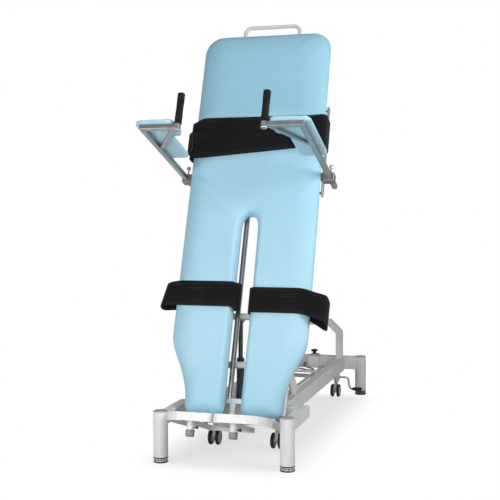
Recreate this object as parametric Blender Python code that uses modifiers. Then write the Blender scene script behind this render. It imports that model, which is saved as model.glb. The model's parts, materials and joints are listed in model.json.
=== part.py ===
"""Electric tilt table: a padded standing couch that an actuator tips up on a wheeled base frame.

Metres, +Z up. The floor is z = 0, the patient faces -Y and +X is the right side seen from the front.
Base pieces are placed by their distance behind the front columns. Couch pieces are modelled lying
flat about the tilt hinge: x across, y towards the head, z out of the padded face.
"""
import math

import bmesh
import bpy
from mathutils import Matrix, Vector

# Fits
CLEAR = 0.0003             # gap between pieces that seat on each other
SOFT_CLEAR = 0.0005        # gap between a strap and what it lies on
RUNNING = 0.0015           # side gap of a wheel or eye that turns
WELD = 0.01                # depth to which welded pieces run into each other

# Base frame
COLUMN_SPACING = 0.628     # between the axes of the left and right columns
COLUMN_DIAMETER = 0.070
COLUMN_TOP = 0.247
COLUMN_CAP = 0.006         # plastic plug standing in the top of a column
BASE_LENGTH = 1.945        # between the axes of the front and rear columns
FOOT_HEIGHT = 0.026
FOOT_RING = 0.007          # rubber ring on the floor
BEAM_TOP = 0.238
BEAM_WIDTH = 0.050
BEAM_ROUNDING = 0.004
SIDE_BEAM_DEPTH = 0.060    # front side beams and front cross beam
CROSS_BEAM_FRONT = 0.306
LONG_BEAM_SPACING = 0.380  # between the middles of the two long beams
LONG_BEAM_DEPTH = 0.080
REAR_BEAM_TOP = 0.245
REAR_BEAM_DEPTH = 0.080
REAR_BEAM_WIDTH = 0.060
TIE_ROD_FROM_REAR = 0.445  # in front of the rear columns
TIE_ROD_HEIGHT = 0.212
TIE_ROD_DIAMETER = 0.016
BUFFER_BRACKET_X = 0.020
BUFFER_BRACKET_WIDTH = 0.070
BUFFER_BRACKET_DEPTH = 0.040
BUFFER_BRACKET_TOP = 0.262
BUFFER_DIAMETER = 0.042
BUFFER_HEIGHT = 0.028

# Couch
TILT = math.radians(69.8)  # lean of the couch from lying flat, as built
HINGE_BACK = 0.369         # tilt hinge behind the front columns
HINGE_HEIGHT = 0.510
HINGE_FROM_FOOT = 0.360    # along the couch, from the foot end of the pad
HINGE_BELOW_FRAME = 0.025
HINGE_PIN_DIAMETER = 0.020
COUCH_LENGTH = 2.060
COUCH_WIDTH = 0.680
HEAD_CORNER = 0.090
PAD_THICKNESS = 0.075
BOARD_THICKNESS = 0.015
BOARD_MARGIN = 0.010       # board edge inside the pad edge
SLOT_WIDTH = 0.120
SLOT_LENGTH = 1.033
LEG_FOOT_HALF_WIDTH = 0.236
LEG_SWELL_LENGTH = 0.390   # from the foot end to where the legs reach the full width
LEG_CORNER = 0.030
FRAME_TUBE = 0.030
SIDE_TUBE_X = 0.235
SIDE_TUBE_FOOT = 0.020
SIDE_TUBE_HEAD = 1.980
LOWER_TUBE_ALONG = 0.270
MIDDLE_TUBE_ALONG = 0.520
HEAD_TUBE_ALONG = 1.850
SPINE_DIAMETER = 0.027
SPINE_X = -0.041
SPINE_HEAD = 1.130
HANDLE_DIAMETER = 0.020
HANDLE_WIDTH = 0.310
HANDLE_REACH = 0.098       # bar beyond the head end of the pad
HANDLE_OVERLAP = 0.130     # length of its legs behind the board

# Rest arch that the flat couch lies down on
REST_FROM_REAR = 0.075     # in front of the rear columns
REST_TUBE = 0.040
REST_BEND_HEIGHT = 0.410
REST_PAD_THICKNESS = 0.010
REST_PAD_WIDTH = 0.200

# Hinge posts
POST_THICKNESS = 0.012
POST_X = 0.201
POST_FOOT_FRONT = 0.540
POST_FOOT_BACK = 0.670
POST_BOSS_DIAMETER = 0.060
LUG_WIDTH = 0.025

# Actuator
ACTUATOR_X = -0.050
ACTUATOR_FOOT_BACK = 0.450
ACTUATOR_FOOT_HEIGHT = 0.120
ACTUATOR_HEAD_ALONG = 0.160    # rod eye from the hinge, along the couch
ACTUATOR_HEAD_DROP = 0.045     # rod eye behind the hinge
ACTUATOR_EYE = 0.022
ACTUATOR_PIN_DIAMETER = 0.016
ACTUATOR_TUBE_DIAMETER = 0.040
ACTUATOR_TUBE_END = 0.325
ACTUATOR_ROD_DIAMETER = 0.024
ACTUATOR_ROD_TAIL = 0.2830
ACTUATOR_EYE_WIDTH = 0.034
GEAR_WIDTH = 0.052
GEAR_DEPTH = 0.060
GEAR_LOW = 0.046           # bottom of the gear housing above the lower pin
GEAR_TOP = 0.120
GEAR_ROUNDING = 0.006
MOTOR_DIAMETER = 0.044
MOTOR_END = 0.118          # rear end of the motor behind the tube's axis
CHEEK_THICKNESS = 0.006
CONTROL_BOX_LENGTH = 0.200
CONTROL_BOX_WIDTH = 0.060
CONTROL_BOX_DEPTH = 0.060
CONTROL_BOX_BACK = 0.850
CABLE_DIAMETER = 0.008

# Castors and their lifting shafts
SHAFT_DIAMETER = 0.025
SHAFT_HEIGHT = 0.140
REAR_SHAFT_FROM_REAR = 0.195   # in front of the rear columns
SHAFT_HALF_LENGTH = 0.216
CASTOR_ARM = 0.070         # from the shaft to the swivel axis
FRONT_CASTOR_X = 0.165
REAR_CASTOR_X = 0.180
ARM_WIDTH = 0.024
SOCKET_DIAMETER = 0.032
SOCKET_LOW = 0.105
SOCKET_HIGH = 0.152
STEM_DIAMETER = 0.012
WHEEL_DIAMETER = 0.080
WHEEL_LIFT = 0.005         # wheels clear the floor while the table stands on its feet
WHEEL_WIDTH = 0.019
FORK_WIDTH = 0.016
CASTOR_TRAIL = 0.022
AXLE_DIAMETER = 0.008
FRONT_LUG_X = 0.200
REAR_LUG_X = 0.2035
SHAFT_LUG_WIDTH = 0.016
CRANK_X = 0.073
CRANK_REACH = (0.100, 0.045)   # link pin from the shaft: back, up
CRANK_WIDTH = 0.008
LINK_PIN_DIAMETER = 0.010
LINK_DEPTH = 0.016
PEDAL_X = 0.305
PEDAL_BEHIND_SHAFT = 0.130
PEDAL_HEIGHT = 0.045
PEDAL_SIZE = (0.060, 0.040, 0.016)
PEDAL_ROD_DIAMETER = 0.012

# Footplates and the carrier that holds them
FOOT_LEAN = math.radians(3)    # footplates from square to the couch
PLATE_GAP = 0.006          # between the two plates
PLATE_SIDE = 0.245         # outer edge of a plate from the middle
PLATE_FRONT = 0.285        # out of the padded face
PLATE_DEPTH = 0.370        # from front to heel
PLATE_DROP = 0.035         # front of a plate's top beyond the foot end of the pad
PLATE_RIM = 0.040
PLATE_SHEET = 0.004
PLATE_CORNER = 0.105
PLATE_LOWERING = 0.020     # how far a plate slides down into its sleeve
POST_PIN_DIAMETER = 0.030
SLEEVE_DIAMETER = 0.038
SLEEVE_SPACING = 0.210     # between the two sleeves, which stand either side of the stem
SLEEVE_BACK = 0.085        # behind the front of a plate
SLEEVE_END = 0.105         # lower end of a sleeve below the top of a plate
SLEEVE_FLOOR = 0.006
CARRIER_TUBE = 0.025
CARRIER_BAR_ALONG = 0.082
CARRIER_LOWER_BACK = 0.389     # lower cross bar behind the front of a plate
CARRIER_ARM_DROP = 0.028       # top of the arms below the top of a plate
CARRIER_ARM = (0.019, 0.022)   # width and depth of the arms
STEM_X = -0.018

# Armrests
RAIL_X = 0.353
RAIL_THICKNESS = 0.010
RAIL_DEPTH = 0.030
RAIL_BELOW_FACE = 0.083    # middle of the rail behind the padded face
RAIL_FOOT = 1.150
RAIL_HEAD = 1.650
RAIL_BOSS = 0.010
ARM_FROM_RAIL_FOOT = 0.102     # middle of the clamp from the lower end of the rail
ARM_TUBE = 0.025
ARM_X = 0.390
ARM_OUT = 0.605            # front of the arm out of the padded face
ARM_TAIL = 0.206           # tail of the arm behind the padded face
ARM_REACH_IN = 0.200       # inner end of the cross bar from the middle
BRACE_WIDTH = 0.020
CLAMP_LENGTH = 0.046
CLAMP_DEPTH = 0.050
CLAMP_WALL = 0.010
GRIP_X = 0.211
GRIP_DIAMETER = 0.032
GRIP_LENGTH = 0.156
GRIP_POST_DIAMETER = 0.022
ARM_PAD_THICKNESS = 0.030
ARM_PAD_WIDTH = 0.138
ARM_PAD_INNER = 0.234
ARM_PAD_HEEL = 0.185
ARM_PAD_OVERHANG = 0.026

# Straps
STRAP_THICKNESS = 0.006
CHEST_STRAP_ABOVE_CLAMP = 0.083    # its lower left corner above the middle of the rail clamp
CHEST_STRAP_SKEW = 0.065           # right end of its lower edge above the left end
CHEST_STRAP_DEPTH = 0.235          # at its left end
LEG_STRAP_WIDTH = 0.130
LEFT_STRAP_ALONG = 0.603
RIGHT_STRAP_ALONG = 0.576
STRAP_BULGE = 0.103        # how far a leg strap stands out beside the couch
STRAP_DROOP = 0.050        # how far the right leg strap's loop hangs towards the foot

# Levels of the flat couch above the hinge
FRAME_LOW = HINGE_BELOW_FRAME
FRAME_TOP = FRAME_LOW + FRAME_TUBE
BOARD_LOW = FRAME_TOP + CLEAR
BOARD_TOP = BOARD_LOW + BOARD_THICKNESS
PAD_LOW = BOARD_TOP + CLEAR
PAD_TOP = PAD_LOW + PAD_THICKNESS
CROSS_TUBE_TOP = FRAME_LOW - CLEAR
CROSS_TUBE_LOW = CROSS_TUBE_TOP - FRAME_TUBE
HALF_WIDTH = COUCH_WIDTH / 2
COLUMN_X = COLUMN_SPACING / 2
LONG_BEAM_X = LONG_BEAM_SPACING / 2
CROSS_BEAM_BACK = CROSS_BEAM_FRONT + BEAM_WIDTH
FRONT_SHAFT_BACK = CROSS_BEAM_FRONT + BEAM_WIDTH / 2
REAR_BEAM_FRONT = BASE_LENGTH - REAR_BEAM_WIDTH / 2
TIE_ROD_BACK = BASE_LENGTH - TIE_ROD_FROM_REAR
REST_BACK = BASE_LENGTH - REST_FROM_REAR
REAR_SHAFT_BACK = BASE_LENGTH - REAR_SHAFT_FROM_REAR
ARM_ALONG = RAIL_FOOT + ARM_FROM_RAIL_FOOT
CHEST_STRAP_LEFT = ARM_ALONG + CHEST_STRAP_ABOVE_CLAMP
CHEST_STRAP_HEAD = CHEST_STRAP_LEFT + CHEST_STRAP_DEPTH

SIDES = (("left", -1), ("right", 1))


def along(distance):
    """Couch y of a place given by its distance from the foot end of the pad."""
    return distance - HINGE_FROM_FOOT


def clear_scene():
    for old in list(bpy.data.objects):
        bpy.data.objects.remove(old, do_unlink=True)


def new_collection(name):
    made = bpy.data.collections.new(name)
    bpy.context.scene.collection.children.link(made)
    return made


def new_material(name, colour, roughness, metallic):
    made = bpy.data.materials.new(name)
    made.use_nodes = True
    shader = made.node_tree.nodes["Principled BSDF"]
    shader.inputs["Base Color"].default_value = (*colour, 1)
    shader.inputs["Roughness"].default_value = roughness
    shader.inputs["Metallic"].default_value = metallic
    return made


clear_scene()
PARTS = new_collection("electric_tilt_table")
TOOLS = new_collection("cutters")
PAINT = new_material("light_grey_paint", (0.74, 0.75, 0.76), 0.35, 0.1)
WHITE_PAINT = new_material("white_paint", (0.88, 0.88, 0.88), 0.35, 0.0)
CHROME = new_material("chrome", (0.80, 0.81, 0.82), 0.12, 1.0)
STEEL = new_material("brushed_steel", (0.55, 0.57, 0.58), 0.30, 1.0)
BLACK_RUBBER = new_material("black_rubber", (0.02, 0.02, 0.02), 0.75, 0.0)
BLACK_PLASTIC = new_material("black_plastic", (0.03, 0.03, 0.03), 0.45, 0.0)
DARK_GREY = new_material("dark_grey_plastic", (0.10, 0.11, 0.12), 0.45, 0.0)
GREY_PLASTIC = new_material("grey_plastic", (0.45, 0.46, 0.47), 0.45, 0.0)
BLUE_VINYL = new_material("light_blue_upholstery", (0.33, 0.61, 0.76), 0.45, 0.0)
PLYWOOD = new_material("plywood", (0.55, 0.40, 0.25), 0.70, 0.0)
WEBBING = new_material("black_webbing", (0.015, 0.015, 0.017), 0.90, 0.0)


# Outlines and paths

def rounded(corners, steps=5, closed=True):
    """Points of an outline or path whose corners (position, radius) become arcs."""
    points = []
    count = len(corners)
    for index, (corner, radius) in enumerate(corners):
        here = Vector(corner)
        end = not closed and index in (0, count - 1)
        if radius == 0 or end:
            points.append(here)
            continue
        back = (Vector(corners[index - 1][0]) - here).normalized()
        ahead = (Vector(corners[(index + 1) % count][0]) - here).normalized()
        half = back.angle(ahead) / 2
        reach = radius / math.tan(half)
        middle = here + (back + ahead).normalized() * (radius / math.sin(half))
        start = here + back * reach - middle
        stop = here + ahead * reach - middle
        for step in range(steps + 1):
            turned = start.slerp(stop, step / steps).normalized() * radius
            points.append(middle + turned)
    return points


def flat_rounded(corners, steps=5, closed=True):
    """The same for (x, y, radius) corners in a plane."""
    lifted = [((x, y, 0), radius) for x, y, radius in corners]
    return [point.to_2d() for point in rounded(lifted, steps, closed)]


def band_outline(path, thickness):
    """Closed outline of a band of even thickness along an open path."""
    left, right = [], []
    for index, point in enumerate(path):
        before = path[max(index - 1, 0)]
        after = path[min(index + 1, len(path) - 1)]
        one = (point - before).normalized() if index else (after - point).normalized()
        two = (after - point).normalized() if index < len(path) - 1 else one
        along_path = (one + two).normalized()
        widen = 1 / max(along_path.dot(one), 0.5)
        side = Vector((-along_path.y, along_path.x)) * (thickness / 2 * widen)
        left.append(point + side)
        right.append(point - side)
    return left + right[::-1]


def bezier(start, first, second, stop, steps):
    points = []
    for step in range(steps + 1):
        t = step / steps
        s = 1 - t
        points.append(s ** 3 * Vector(start) + 3 * s * s * t * Vector(first)
                      + 3 * s * t * t * Vector(second) + t ** 3 * Vector(stop))
    return points


# Solids

def box(x, y, z, rounding=0.0, segments=2):
    """Box between pairs of limits, with every edge rounded if asked."""
    made = bmesh.new()
    bmesh.ops.create_cube(made, size=1)
    limits = [sorted(pair) for pair in (x, y, z)]
    bmesh.ops.scale(made, vec=[high - low for low, high in limits], verts=made.verts)
    bmesh.ops.translate(made, vec=[(low + high) / 2 for low, high in limits], verts=made.verts)
    if rounding:
        bmesh.ops.bevel(made, geom=made.edges[:], offset=rounding, segments=segments,
                        profile=0.5, affect="EDGES")
    return made


def bar(radius, start, stop, sides=20):
    """Round bar between two points."""
    start, stop = Vector(start), Vector(stop)
    made = bmesh.new()
    bmesh.ops.create_cone(made, cap_ends=True, segments=sides, radius1=radius, radius2=radius,
                          depth=(stop - start).length)
    turn = Vector((0, 0, 1)).rotation_difference(stop - start).to_matrix()
    bmesh.ops.rotate(made, cent=(0, 0, 0), matrix=turn, verts=made.verts)
    bmesh.ops.translate(made, vec=(start + stop) / 2, verts=made.verts)
    return made


def plate(outline, low, high, normal="z"):
    """Flat outline thickened from low to high along an axis; x takes (y, z) and y takes (x, z)."""
    place = {"x": lambda p: (low, p[0], p[1]), "y": lambda p: (p[0], low, p[1]),
             "z": lambda p: (p[0], p[1], low)}[normal]
    made = bmesh.new()
    face = made.faces.new([made.verts.new(place(point)) for point in outline])
    grown = bmesh.ops.extrude_face_region(made, geom=[face])["geom"]
    moved = [item for item in grown if isinstance(item, bmesh.types.BMVert)]
    shift = Vector([high - low if axis == normal else 0 for axis in "xyz"])
    bmesh.ops.translate(made, vec=shift, verts=moved)
    return made


def tube(points, radius, resolution=3):
    """Round tube along a path, as a mesh with welded caps."""
    curve = bpy.data.curves.new("path", "CURVE")
    curve.dimensions = "3D"
    curve.bevel_depth = radius
    curve.bevel_resolution = resolution
    curve.use_fill_caps = True
    spline = curve.splines.new("POLY")
    spline.points.add(len(points) - 1)
    for target, point in zip(spline.points, points):
        target.co = (*point, 1)
    holder = bpy.data.objects.new("path", curve)
    TOOLS.objects.link(holder)
    graph = bpy.context.evaluated_depsgraph_get()
    mesh = bpy.data.meshes.new_from_object(holder.evaluated_get(graph))
    made = bmesh.new()
    made.from_mesh(mesh)
    bmesh.ops.remove_doubles(made, verts=made.verts, dist=0.00001)
    bpy.data.objects.remove(holder, do_unlink=True)
    bpy.data.meshes.remove(mesh)
    return made


def cushion(outline, low, high, edge):
    """Upholstered slab: sides drawn in at the seams, a rounded upper edge and a crowned face."""
    depth = high - low
    made = plate(outline, low + 0.16 * depth, low + 0.62 * depth)
    made.normal_update()
    upper = max(made.faces, key=lambda face: face.calc_center_median().z)
    lower = min(made.faces, key=lambda face: face.calc_center_median().z)
    bmesh.ops.recalc_face_normals(made, faces=made.faces[:])
    crown = ((0.18, 0.17), (0.28, 0.12), (0.54, 0.09))
    for inward, rise in crown:
        bmesh.ops.inset_region(made, faces=[upper], thickness=inward * edge, depth=rise * depth,
                               use_boundary=True, use_even_offset=True)
    bmesh.ops.inset_region(made, faces=[lower], thickness=0.12 * edge, depth=0.16 * depth,
                           use_boundary=True, use_even_offset=True)
    return made


def empty(name, parent, at=(0, 0, 0), turn=(0, 0, 0)):
    made = bpy.data.objects.new(name, None)
    PARTS.objects.link(made)
    made.parent = parent
    made.location = at
    made.rotation_euler = turn
    return made


def add_part(name, solid, material, parent, at=(0, 0, 0), turn=(0, 0, 0)):
    """Object made from a solid that is given about its own origin."""
    bmesh.ops.recalc_face_normals(solid, faces=solid.faces[:])
    mesh = bpy.data.meshes.new(name)
    solid.to_mesh(mesh)
    solid.free()
    mesh.materials.append(material)
    mesh.shade_smooth()
    mesh.set_sharp_from_angle(angle=math.radians(35))
    made = bpy.data.objects.new(name, mesh)
    PARTS.objects.link(made)
    made.parent = parent
    made.location = at
    made.rotation_euler = turn
    return made


def add_turned(name, profile, material, parent, at=(0, 0, 0), turn=(0, 0, 0), steps=28):
    """Object turned about its z axis from a (radius, height) profile running from top to bottom."""
    mesh = bpy.data.meshes.new(name)
    links = [(index, index + 1) for index in range(len(profile) - 1)]
    mesh.from_pydata([(radius, 0, height) for radius, height in profile], links, [])
    mesh.materials.append(material)
    made = bpy.data.objects.new(name, mesh)
    PARTS.objects.link(made)
    made.parent = parent
    made.location = at
    made.rotation_euler = turn
    screw = made.modifiers.new("turned", "SCREW")
    screw.steps = steps
    screw.render_steps = steps
    screw.use_merge_vertices = True
    screw.merge_threshold = 0.00001
    return made


def work(part, solid, operation):
    """Joins a solid to a part, or cuts it out; the solid is given in the part's own frame."""
    bmesh.ops.recalc_face_normals(solid, faces=solid.faces[:])
    mesh = bpy.data.meshes.new(part.name + "_tool")
    solid.to_mesh(mesh)
    solid.free()
    tool = bpy.data.objects.new(mesh.name, mesh)
    TOOLS.objects.link(tool)
    tool.parent = part.parent
    tool.location = part.location
    tool.rotation_euler = part.rotation_euler
    tool.hide_render = True
    tool.display_type = "WIRE"
    step = part.modifiers.new(operation.lower(), "BOOLEAN")
    step.operation = operation
    step.object = tool


def join(part, *solids):
    for solid in solids:
        work(part, solid, "UNION")


def cut(part, *solids):
    for solid in solids:
        work(part, solid, "DIFFERENCE")


# Base

def column(x, y):
    """Round column with a chamfered plug in its top."""
    made = bar(COLUMN_DIAMETER / 2, (x, y, FOOT_HEIGHT + CLEAR), (x, y, COLUMN_TOP), 28)
    top = max(made.faces, key=lambda face: face.calc_center_median().z)
    bmesh.ops.inset_region(made, faces=[top], thickness=0.002, depth=0)
    bmesh.ops.inset_region(made, faces=[top], thickness=COLUMN_CAP / 2, depth=COLUMN_CAP / 2)
    return made


def shaft_lug(x, y, roots):
    """Bearing plate round a castor shaft; roots are the ends of its outline inside a beam."""
    half = SHAFT_DIAMETER
    outline = flat_rounded([roots[0], (y - half, SHAFT_HEIGHT - half, half * 0.8),
                            (y + half, SHAFT_HEIGHT - half, half * 0.8), roots[1]])
    return plate(outline, x - SHAFT_LUG_WIDTH / 2, x + SHAFT_LUG_WIDTH / 2, "x")


def shaft_bore(x, y):
    radius = SHAFT_DIAMETER / 2 + CLEAR
    return bar(radius, (x - SHAFT_LUG_WIDTH, y, SHAFT_HEIGHT), (x + SHAFT_LUG_WIDTH, y, SHAFT_HEIGHT))


def build_front_frame(floor):
    inner = COLUMN_X - BEAM_WIDTH / 2
    low = BEAM_TOP - SIDE_BEAM_DEPTH
    under = 0.001           # the cross beam lies just under the side beams' upper faces
    frame = add_part("front_base_frame",
                     box((-inner - WELD, inner + WELD), (CROSS_BEAM_FRONT, CROSS_BEAM_BACK - under),
                         (low + under, BEAM_TOP - under), BEAM_ROUNDING, 1), PAINT, floor)
    roots = [(CROSS_BEAM_FRONT + WELD / 2, low + WELD, 0), (CROSS_BEAM_BACK - WELD / 2, low + WELD, 0)]
    for _, side in SIDES:
        x = side * COLUMN_X
        join(frame, box((x - BEAM_WIDTH / 2, x + BEAM_WIDTH / 2), (0, CROSS_BEAM_BACK),
                        (low, BEAM_TOP), BEAM_ROUNDING, 1), column(x, 0),
             shaft_lug(side * FRONT_LUG_X, FRONT_SHAFT_BACK, roots))
        cut(frame, shaft_bore(side * FRONT_LUG_X, FRONT_SHAFT_BACK))


def build_rear_frame(floor):
    low = REAR_BEAM_TOP - REAR_BEAM_DEPTH
    half = REAR_BEAM_WIDTH / 2
    frame = add_part("rear_base_frame",
                     box((-COLUMN_X, COLUMN_X), (BASE_LENGTH - half, BASE_LENGTH + half),
                         (low, REAR_BEAM_TOP), BEAM_ROUNDING), PAINT, floor)
    reach = BUFFER_BRACKET_WIDTH / 2
    bracket = flat_rounded([(BUFFER_BRACKET_X - reach, low + WELD, 0.004),
                            (BUFFER_BRACKET_X + reach, low + WELD, 0.004),
                            (BUFFER_BRACKET_X + reach, BUFFER_BRACKET_TOP, 0.018),
                            (BUFFER_BRACKET_X - reach, BUFFER_BRACKET_TOP, 0.018)])
    join(frame, plate(bracket, REAR_BEAM_FRONT - BUFFER_BRACKET_DEPTH, REAR_BEAM_FRONT + WELD, "y"))
    for _, side in SIDES:
        join(frame, column(side * COLUMN_X, BASE_LENGTH))
    head = BUFFER_DIAMETER / 2
    stem = head / 2
    profile = [(0, BUFFER_HEIGHT), (head * 0.8, BUFFER_HEIGHT), (head, BUFFER_HEIGHT - 0.004),
               (head, BUFFER_HEIGHT - 0.012), (stem, BUFFER_HEIGHT - 0.017), (stem, 0), (0, 0)]
    add_turned("rear_buffer", profile, BLACK_RUBBER, floor,
               (BUFFER_BRACKET_X, REAR_BEAM_FRONT - BUFFER_BRACKET_DEPTH / 2, BUFFER_BRACKET_TOP + CLEAR))


def build_feet(floor):
    """Levelling feet: a rubber ring on the floor, a plain band and a thin ring under the column."""
    wide = COLUMN_DIAMETER / 2 + 0.001
    band = COLUMN_DIAMETER / 2 - 0.001
    thin = FOOT_HEIGHT - 0.004
    profile = [(0, FOOT_HEIGHT), (wide, FOOT_HEIGHT), (wide, thin), (band, thin), (band, FOOT_RING),
               (wide, FOOT_RING), (wide, 0.002), (wide - 0.002, 0), (0, 0)]
    for end, y in (("front", 0), ("rear", BASE_LENGTH)):
        for name, side in SIDES:
            add_turned(f"{name}_{end}_foot", profile, BLACK_RUBBER, floor, (side * COLUMN_X, y, 0), steps=22)


def build_long_beams(floor):
    low = BEAM_TOP - LONG_BEAM_DEPTH
    for name, side in SIDES:
        x = side * LONG_BEAM_X
        beam = add_part(f"{name}_base_beam",
                        box((x - BEAM_WIDTH / 2, x + BEAM_WIDTH / 2),
                            (CROSS_BEAM_BACK + CLEAR, REAR_BEAM_FRONT - CLEAR), (low, BEAM_TOP),
                            BEAM_ROUNDING), PAINT, floor)
        lug = side * REAR_LUG_X
        roots = [(REAR_SHAFT_BACK - SHAFT_DIAMETER, low + WELD, 0),
                 (REAR_SHAFT_BACK + SHAFT_DIAMETER, low + WELD, 0)]
        join(beam, shaft_lug(lug, REAR_SHAFT_BACK, roots))
        cut(beam, shaft_bore(lug, REAR_SHAFT_BACK))
    reach = LONG_BEAM_X - BEAM_WIDTH / 2 - CLEAR
    add_part("tie_rod", bar(TIE_ROD_DIAMETER / 2, (-reach, TIE_ROD_BACK, TIE_ROD_HEIGHT),
                            (reach, TIE_ROD_BACK, TIE_ROD_HEIGHT), 16), PAINT, floor)


def build_rest_arch(floor):
    """Square tube arch with sloping shoulders, topped by the rubber strip that takes the couch."""
    lying = HINGE_HEIGHT + CROSS_TUBE_LOW
    top = lying - REST_PAD_THICKNESS - 2 * CLEAR
    half = REST_TUBE / 2
    rise = top - half - REST_BEND_HEIGHT
    foot = BEAM_TOP + CLEAR
    run = [(-LONG_BEAM_X, foot), (-LONG_BEAM_X, REST_BEND_HEIGHT), (rise - LONG_BEAM_X, top - half),
           (LONG_BEAM_X - rise, top - half), (LONG_BEAM_X, REST_BEND_HEIGHT), (LONG_BEAM_X, foot)]
    outline = band_outline([Vector(point) for point in run], REST_TUBE)
    add_part("rest_arch", plate(outline, REST_BACK - half, REST_BACK + half, "y"), PAINT, floor)
    reach = REST_PAD_WIDTH / 2
    add_part("rest_pad", box((-reach, reach), (REST_BACK - half, REST_BACK + half),
                             (top + CLEAR, top + CLEAR + REST_PAD_THICKNESS), 0.003), BLACK_RUBBER, floor)


def build_hinge_posts(floor):
    """Raked plates on the long beams that carry the couch's hinge pins."""
    boss = POST_BOSS_DIAMETER / 2
    lug_inner = SIDE_TUBE_X - LUG_WIDTH / 2
    lug_outer = SIDE_TUBE_X + LUG_WIDTH / 2
    foot = BEAM_TOP + CLEAR
    rake = math.atan2(HINGE_HEIGHT - foot, (POST_FOOT_FRONT + POST_FOOT_BACK) / 2 - HINGE_BACK)
    outline = [Vector((POST_FOOT_BACK, foot + 0.012)), Vector((POST_FOOT_BACK, foot)),
               Vector((POST_FOOT_FRONT, foot)), Vector((POST_FOOT_FRONT, foot + 0.012))]
    start = math.pi * 1.5 - rake
    for step in range(13):
        angle = start - step * math.pi / 12
        outline.append(Vector((HINGE_BACK + boss * math.cos(angle), HINGE_HEIGHT + boss * math.sin(angle))))
    for name, side in SIDES:
        x = side * POST_X
        inner, outer = x - side * POST_THICKNESS / 2, x + side * POST_THICKNESS / 2
        post = add_part(f"{name}_hinge_post", plate(outline, inner, outer, "x"), PAINT, floor)
        flange = LONG_BEAM_X - BEAM_WIDTH / 2, LONG_BEAM_X + BEAM_WIDTH / 2
        axis = HINGE_BACK, HINGE_HEIGHT
        join(post, box([side * edge for edge in flange], (POST_FOOT_FRONT - 0.01, POST_FOOT_BACK + 0.01),
                       (foot, foot + 0.006), 0.0015, 1),
             bar(boss * 0.8, (x, *axis), (side * (lug_inner - CLEAR), *axis)),
             bar(HINGE_PIN_DIAMETER / 2, (x, *axis), (side * (lug_outer + 0.004), *axis)))


# Castors

def build_castor_shaft(floor, end, shaft_back, castor_x):
    """Turning shaft with an arm and socket for each castor and a crank for the link bar."""
    pivot = empty(f"{end}_castor_lift", floor, (0, shaft_back, SHAFT_HEIGHT))
    shaft = add_part(f"{end}_castor_shaft",
                     bar(SHAFT_DIAMETER / 2, (-SHAFT_HALF_LENGTH, 0, 0), (SHAFT_HALF_LENGTH, 0, 0)),
                     STEEL, pivot)
    low, high = SOCKET_LOW - SHAFT_HEIGHT, SOCKET_HIGH - SHAFT_HEIGHT
    for _, side in SIDES:
        x = side * castor_x
        join(shaft, box((x - ARM_WIDTH / 2, x + ARM_WIDTH / 2), (0, CASTOR_ARM), (-0.008, 0.008), 0.002, 1),
             bar(SOCKET_DIAMETER / 2, (x, CASTOR_ARM, low), (x, CASTOR_ARM, high)))
        cut(shaft, bar(STEM_DIAMETER / 2 + CLEAR, (x, CASTOR_ARM, low - WELD),
                       (x, CASTOR_ARM, high - WELD), 16))
    back, up = CRANK_REACH
    eye = LINK_DEPTH / 2
    crank = band_outline([Vector((0, 0)), Vector((back, 0)), Vector((back, up + eye))], LINK_DEPTH)
    half = CRANK_WIDTH / 2
    pin_end = CRANK_X + half + CRANK_WIDTH + 2 * RUNNING
    join(shaft, plate(crank, CRANK_X - half, CRANK_X + half, "x"),
         bar(LINK_PIN_DIAMETER / 2, (CRANK_X, back, up), (pin_end, back, up), 16))
    return pivot, shaft


def build_castor(pivot, end, castor_x):
    """Twin-wheel castors: a web on a swivel stem between two tyres on one axle."""
    axle_height = WHEEL_DIAMETER / 2 + WHEEL_LIFT - SHAFT_HEIGHT
    top = SOCKET_LOW - SHAFT_HEIGHT - CLEAR
    flange = top - 0.006
    stem_top = SOCKET_HIGH - SHAFT_HEIGHT - WELD - 2 * CLEAR
    radius = WHEEL_DIAMETER / 2
    inner = FORK_WIDTH / 2 + RUNNING
    outer = inner + WHEEL_WIDTH
    tread = radius * 0.94
    hub = radius * 0.62
    thin = AXLE_DIAMETER / 2
    half_profile = [(0, outer - 0.004), (hub, outer - 0.005), (hub * 1.1, outer), (tread, outer),
                    (radius, outer - 0.003), (radius, inner + 0.001), (tread, inner), (thin, inner)]
    profile = half_profile + [(r, -h) for r, h in reversed(half_profile)]
    for name, side in SIDES:
        swivel = empty(f"{name}_{end}_swivel", pivot, (side * castor_x, CASTOR_ARM, 0))
        drop = axle_height
        web = flat_rounded([(0.014, flange + 0.002, 0.002), (0.014, flange - 0.012, 0.008),
                            (0.0, drop - 0.006, 0.010), (-CASTOR_TRAIL, drop - 0.017, 0.012),
                            (-CASTOR_TRAIL - 0.018, drop, 0.012),
                            (-CASTOR_TRAIL - 0.012, flange - 0.008, 0.012),
                            (-0.014, flange + 0.002, 0.002)], 4)
        fork = add_part(f"{name}_{end}_castor_fork", plate(web, -FORK_WIDTH / 2, FORK_WIDTH / 2, "x"),
                        GREY_PLASTIC, swivel)
        join(fork, bar(SOCKET_DIAMETER / 2, (0, 0, flange), (0, 0, top), 16),
             bar(STEM_DIAMETER / 2, (0, 0, flange), (0, 0, stem_top), 16))
        axle = (-CASTOR_TRAIL, drop)
        cut(fork, bar(thin + CLEAR, (-FORK_WIDTH, *axle), (FORK_WIDTH, *axle), 16))
        add_turned(f"{name}_{end}_castor_wheels", profile, BLACK_RUBBER, swivel, (0, *axle),
                   (0, math.pi / 2, 0), steps=18)


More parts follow.
